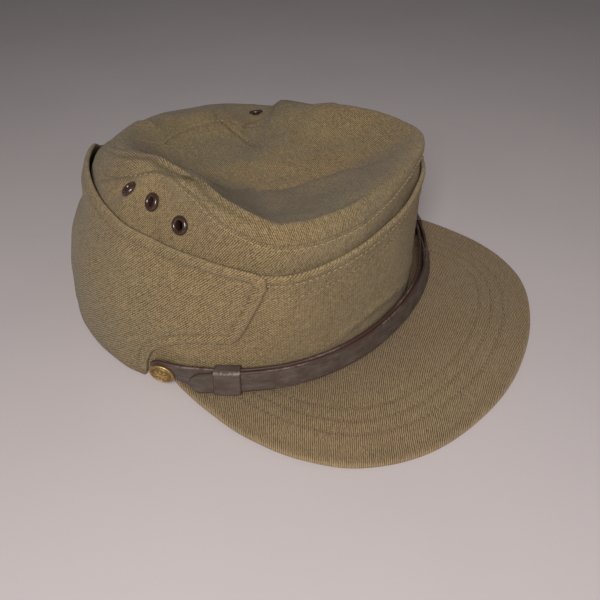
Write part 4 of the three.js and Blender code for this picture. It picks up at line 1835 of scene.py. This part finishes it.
@dataclass
class ChinStrap:
    """The two leather layers, their keepers and the buttons that hold them."""

    form: CrownForm
    width: float = 9.8
    thickness: float = 1.4
    height: float = 11.0
    end: float = 74.7
    outer_end: float = 63.5
    standoff: float = 3.0
    lean: float = 0.3
    end_lean: float = -0.1
    twist_start: float = 61.0
    twist_end: float = 71.0
    standoff_angle: float = 34.0
    standoff_spread: float = 22.0
    keeper_angle: float = 53.5
    keeper_length: float = 10.5
    keeper_thickness: float = 0.9
    keeper_corner: float = 0.9
    keeper_rub: float = 0.42
    keeper_edge: float = 0.45
    button_angle: float = 71.2
    button_diameter: float = 11.4
    button_height: float = 1.6
    button_rim: float = 0.9
    bead_count: int = 40
    petal_count: int = 8
    sag: float = 2.0
    end_rise: float = 1.6
    button_drop: float = 0.8
    button_turn: float = 8.0
    button_lean: float = -0.05
    parting: float = 0.6
    parting_angle: float = 32.0
    parting_spread: float = 13.0
    flat_radius: float = 92.0
    layer_rumples: tuple[Rumple, Rumple] = (Rumple(16.0, 4.4, 0.25), Rumple(16.0, 5.4, 0.25))
    keeper_rumple: Rumple = Rumple(9.0, 6.2, 0.12)

    def _lean(self, angle: Array) -> Array:
        """How far the strap leans in towards its top edge; it twists upright near its ends."""
        twist = step(np.abs(angle), self.twist_start, self.twist_end)
        return self.lean + (self.end_lean - self.lean) * twist

    def _radius(self, angle: Array, height: Array, layer: int) -> Array:
        """The inner face of a layer.

        Args:
            angle: degrees round the crown.
            height: height above the table.
            layer: 0 for the inner layer and 1 for the outer one.
        Returns:
            The face's radius.
        """
        behind = self.form.cloth + 3 * self.form.gap + self.keeper_thickness + self.lean * self.width / 2
        lift = behind + layer * (self.thickness + self.form.gap) - self._lean(angle) * (height - self.height)
        away = self.standoff * bell(angle - self.standoff_angle, self.standoff_spread)
        if not layer:
            away = away * (1 - self.parting * bell(angle - self.parting_angle, self.parting_spread))
        return self.form.wall_radius(angle, self.height) + lift + away

    def _shift(self, angle: Array, layer: int) -> Array:
        """How far a layer rises near its ends: the inner one rises, and the outer one sags.

        Args:
            angle: degrees round the crown.
            layer: 0 for the inner layer and 1 for the outer one.
        Returns:
            The rise, in millimetres.
        """
        if layer:
            return -self.sag * step(np.abs(angle), self.keeper_angle + 1.0, self.outer_end - 2.0)
        return self.end_rise * step(np.abs(angle), self.outer_end, self.button_angle)

    def _normal(self, angle: Array) -> Array:
        """The straps' outward normals."""
        return self.form.outward(angle, self._lean(angle))

    def build_layer(self, name: str, node: str, end: float, layer: int, finish: LeatherFinish) -> None:
        """Makes one layer of the strap, with rounded ends.

        Args:
            name: the piece's name.
            node: the frame's node that it replaces.
            end: the angle of its ends.
            layer: 0 for the inner layer and 1 for the outer one.
            finish: its leather.
        """
        round_angle = math.degrees(self.width / 2 / self.form.foot_front)
        turn = end - round_angle + round_angle * np.sin(np.linspace(0, math.pi / 2, 14))
        angle = np.concatenate([-turn[::-1], np.linspace(-turn[0], turn[0], 260)[1:-1], turn])[None]
        past = np.clip((np.abs(angle) - (end - round_angle)) / round_angle, 0, 1)
        half_width = self.width / 2 * np.sqrt(np.maximum(1 - past**2, 0))
        side = (2 * eased(24, 0.05) - 1)[:, None]
        height = self.height + side * half_width
        radius = self._radius(angle, height, layer) + self.thickness / 2
        height = height + self._shift(angle, layer)
        middle = self.form.polar(angle, radius, height)
        normal = np.broadcast_to(self._normal(angle), middle.shape)
        edge = (1 - np.abs(side)) * half_width
        around = np.radians(angle) * self.flat_radius
        weave = np.stack(np.broadcast_arrays(around, height), -1)
        soft = self.layer_rumples[layer].lift(middle) - bell(edge - 1.3, 0.5) * 0.06
        lift = soft * step(edge, 0.1, 1.5)
        rub = bell(edge - 0.35, 0.3) * step(np.sin(around / 9 + layer * 2), 0.2, 1.0) * 0.35
        trim = np.stack([edge, rub], -1)
        maker = MeshMaker()
        maker.sheet(middle, normal, rounded(edge, self.thickness / 2, 0.7), lift, weave, trim)
        report(maker.build(name, finish.material()), "leather", node)

    def _keeper_section(self) -> tuple[Array, Array, Array]:
        """A keeper's section, a closed loop with round corners.

        Returns:
            Each point's depth and rise, the way it faces, and how rubbed it is.
        """
        inside = -self.form.gap - self.keeper_thickness / 2
        outside = 2 * self.thickness + 2 * self.form.gap + self.keeper_thickness / 2
        half = self.width / 2 + self.keeper_thickness / 2
        turn = np.linspace(0, math.pi / 2, 7)
        corners = [(outside, half, 0.0), (inside, half, 0.5), (inside, -half, 1.0), (outside, -half, 1.5)]
        loop, facing = [], []
        for depth, rise, quarter in corners:
            base = turn + quarter * math.pi
            centre = [size - math.copysign(self.keeper_corner, size) for size in (depth, rise)]
            facing.append(np.stack([np.cos(base), np.sin(base)], -1))
            loop.append(np.array(centre) + self.keeper_corner * facing[-1])
        loop, facing = (np.concatenate([*part, part[0][:1]]) for part in (loop, facing))
        count = len(loop) - 1
        fine = np.linspace(0, count, 4 * count, endpoint=False)
        loop, facing = (read_along(part, np.arange(count + 1), fine) for part in (loop, facing))
        rub = bell(loop[:, 1] - half + 0.25, 0.4) * step(loop[:, 0], outside - 1.6, outside - 0.3)
        return loop, unit(facing), rub * self.keeper_rub

    def build_keeper(self, side: Side, finish: LeatherFinish) -> None:
        """Makes a keeper, a leather loop folded round both layers.

        Args:
            side: the wearer's side.
            finish: its leather.
        """
        middle = side.value * self.keeper_angle
        reach = math.degrees(self.keeper_length / 2 / self.form.foot_front)
        angle = middle + reach * (2 * eased(19, 0.05) - 1)
        loop, facing, rub = self._keeper_section()
        height = self.height + loop[:, 1][:, None]
        radius = self._radius(angle[None], height, 0) + loop[:, 0][:, None]
        points = self.form.polar(angle[None], radius, height)
        up = np.array([0.0, 0.0, 1.0])
        normal = unit(facing[:, :1, None] * self.form.outward(angle, 0.0) + facing[:, 1:, None] * up)
        edge = np.radians(reach - np.abs(angle - middle)) * self.flat_radius
        edge, rub = np.broadcast_arrays(edge, rub[:, None])
        around = np.radians(angle)[None] * self.flat_radius
        weave = np.stack(np.broadcast_arrays(around, run_of(loop)[:, None]), -1)
        trim = np.stack([edge + self.keeper_edge, rub], -1)
        half = rounded(edge, self.keeper_thickness / 2, 0.6)
        lift = self.keeper_rumple.lift(points) * step(edge, 0, 1)
        points, normal, weave, trim = (data.transpose(1, 0, 2) for data in (points, normal, weave, trim))
        maker = MeshMaker()
        maker.sheet(points, normal, half.T, lift.T, closed(weave), closed(trim), looped=True)
        node = f"keeper_{side.name.lower()}"
        report(maker.build(node + "_loop", finish.material()), "leather", node)

    def _button_relief(self, reach: Array, turn: Array) -> tuple[Array, Array]:
        """A button's domed face, and the beads, petals and boss on it.

        Args:
            reach: share of the radius, from 0 at the middle to 1.
            turn: radians round the button.
        Returns:
            The dome's height, and the height raised on it.
        """
        rim = self.button_rim * 0.55
        dome = rim + (self.button_height - rim) * np.sqrt(1 - (reach * 0.94) ** 2)
        dome = dome - 0.35 * bell(reach - 0.78, 0.05) + 0.15 * bell(reach - 0.96, 0.04)
        beads, petals = (0.5 + 0.5 * np.cos(turn * count) for count in (self.bead_count, self.petal_count))
        beads = bell(reach - 0.87, 0.05) * beads * 0.3
        petals = step(reach, 0.1, 0.2) * step(reach, 0.62, 0.5) * petals**1.5 * 0.3
        boss = bell(reach, 0.13) * 0.35
        return dome, beads + petals + boss

    def build_button(self, side: Side, finish: BrassFinish) -> None:
        """Makes a domed button with a beaded ring and a plain rosette.

        Args:
            side: the wearer's side.
            finish: its brass.
        """
        angle = side.value * self.button_angle
        radius = self._radius(np.array(angle), self.height, 0) + self.thickness + self.form.gap
        point = self.form.polar(angle, radius, self.height - self.button_drop)
        normal = self.form.outward(angle - side.value * self.button_turn, self.button_lean)
        size = self.button_diameter / 2
        turn = np.linspace(0, math.tau, 160, endpoint=False)
        rr, tt = np.meshgrid(np.linspace(0, 1, 60), turn, indexing="ij")
        dome, relief = self._button_relief(rr, tt)
        face = point + (rr * size)[..., None] * spokes(normal, tt) + (dome + relief)[..., None] * normal
        under = [(1.02, self.button_rim * 0.5), (0.97, 0.12), (0.9, 0.0)]
        shank = [(0.33, 0.0), (0.32, -3.0), (0.0, -3.0)]
        ring = spokes(normal, turn) * size
        back = [point + ring * share + normal * height for share, height in under + shank]
        hollow = np.clip(1 - relief / 0.25, 0, 1) * step(rr, 1.0, 0.93)
        wide = np.broadcast_to(np.append(turn, math.tau), (len(rr), len(turn) + 1)) * size
        weave = np.stack([wide, closed(rr) * size], -1)
        trim = np.stack([0 * wide, closed(hollow)], -1)
        maker = MeshMaker()
        maker.grid(face, weave, trim, looped=True)
        plain = np.zeros((len(back) + 1, len(turn) + 1, 2))
        maker.grid(np.stack([face[-1], *back]), plain, plain, looped=True)
        node = f"button_{side.name.lower()}"
        report(maker.build(node + "_dome", finish.material()), "brass", node)

    def build(self, leather: LeatherFinish, brass: BrassFinish) -> None:
        """Makes the straps, keepers and buttons.

        Args:
            leather: the straps' and keepers' finish.
            brass: the buttons' finish.
        """
        self.build_layer("strap_inner_leather", "strap_inner", self.end, 0, leather)
        self.build_layer("strap_outer_leather", "strap_outer", self.outer_end, 1, leather)
        for side in Side:
            self.build_keeper(side, leather)
            self.build_button(side, brass)


@dataclass(frozen=True)
class Lamp:
    """A soft square light, in metres and watts."""

    name: str
    place: tuple[float, float, float]
    size: float
    power: float
    tint: Colour

    def hang(self, aim: tuple[float, float, float]) -> None:
        """Adds the light to the scene, turned towards a point.

        Args:
            aim: the point, in metres.
        """
        data = bpy.data.lights.new(self.name, "AREA")
        data.size = self.size
        data.energy = self.power
        data.color = self.tint
        light = bpy.data.objects.new(self.name, data)
        light.location = self.place
        light.rotation_euler = (Vector(aim) - light.location).to_track_quat("-Z", "Y").to_euler()
        bpy.context.scene.collection.objects.link(light)


@dataclass
class Studio:
    """The camera, the floor and the lights."""

    axis_y: float
    eye: tuple[float, float, float] = (-172.2, -177.7, 200.6)
    aim: tuple[float, float, float] = (-10.0, -41.6, 1.0)
    focal_pixels: float = 552.0
    image_pixels: float = 600.0
    sensor: float = 36.0
    floor_size: float = 6.0
    lamps: tuple[Lamp, ...] = (
        Lamp("key", (-0.38, -0.28, 0.44), 0.25, 3.3, (1.0, 0.965, 0.93)),
        Lamp("fill", (0.15, -0.65, 0.4), 0.5, 0.35, (1.0, 0.95, 0.9)),
    )
    lamp_aim: tuple[float, float, float] = (0.0, 0.0, 0.03)
    sky: Colour = (0.95, 0.96, 1.0)
    sky_strength: float = 0.1

    def _placed(self, point: Sequence[float]) -> Vector:
        """A point given from the crown's axis, in the frame's metres."""
        return Vector((point[0], point[1] + self.axis_y, point[2])) * MM

    def camera(self) -> None:
        """Sets the camera where the photograph was taken from."""
        data = bpy.data.cameras.new("camera")
        data.sensor_width = self.sensor
        data.lens = self.focal_pixels / self.image_pixels * self.sensor
        data.clip_start = 0.01
        camera = bpy.data.objects.new("camera", data)
        camera.location = self._placed(self.eye)
        aim = self._placed(self.aim) - camera.location
        camera.rotation_euler = aim.to_track_quat("-Z", "Y").to_euler()
        bpy.context.scene.collection.objects.link(camera)
        bpy.context.scene.camera = camera

    def floor(self, finish: FloorFinish) -> None:
        """Lays the floor under the cap.

        Args:
            finish: its surface.
        """
        half = self.floor_size / 2
        mesh = bpy.data.meshes.new("floor")
        corners = [(-half, -half, 0), (half, -half, 0), (half, half, 0), (-half, half, 0)]
        mesh.from_pydata(corners, [], [(0, 1, 2, 3)])
        mesh.materials.append(finish.material())
        floor = bpy.data.objects.new("floor", mesh)
        bpy.context.scene.collection.objects.link(floor)

    def lights(self) -> None:
        """Sets soft studio light from above the camera's left."""
        for lamp in self.lamps:
            lamp.hang(self.lamp_aim)
        world = bpy.data.worlds.new("studio")
        world.use_nodes = True
        background = world.node_tree.nodes["Background"]
        background.inputs["Color"].default_value = (*self.sky, 1.0)
        background.inputs["Strength"].default_value = self.sky_strength
        bpy.context.scene.world = world
        bpy.context.scene.view_settings.view_transform = "Standard"


def main() -> None:
    """Builds the cap's pieces round the frame, in order."""
    logging.basicConfig(level=logging.INFO, format="%(name)s %(message)s")
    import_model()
    peak_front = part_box("peak")[0].y / MM
    form = CrownForm(axis_y=peak_front - Peak.widest_y + Peak.length)
    studio = Studio(form.axis_y)
    studio.camera()
    studio.floor(FloorFinish("pale_floor"))
    studio.lights()
    crown, band, flap, peak = Crown(form), FrontBand(form), NeckFlap(form), Peak(form)
    eyelets = Eyelets(crown)
    crown.build_wall(TwillFinish("wall_twill", grain=40.0), eyelets.cutter())
    crown.build_tip(TwillFinish("tip_twill", grain=20.0))
    band_tones = {"base": (0.245, 0.175, 0.078), "brown": (0.25, 0.164, 0.07)}
    band.build(TwillFinish("band_twill", grain=58.0, rib=0.86, **band_tones))
    flap.build(TwillFinish("flap_twill", grain=50.0, rib=0.8))
    peak_tones = {"base": (0.226, 0.148, 0.072), "brown": (0.228, 0.142, 0.068), "pale": (0.42, 0.31, 0.175)}
    peak.build(TwillFinish("peak_twill", grain=50.0, rib=0.84, ribbed=0.9, **peak_tones))
    eyelets.build(PaintFinish("eyelet_paint"))
    ChinStrap(form).build(LeatherFinish("strap_leather"), BrassFinish("button_brass"))
    pale = ThreadFinish("pale_thread")
    brown = ThreadFinish("brown_thread", (0.30, 0.215, 0.115), (0.17, 0.12, 0.06))
    for part, thread in ((crown, pale), (band, pale), (flap, brown), (peak, brown)):
        stitching = Stitching()
        part.stitch(stitching)
        report(stitching.build(f"{type(part).__name__.lower()}_stitches", thread), "cloth")


if __name__ == "__main__":
    main()
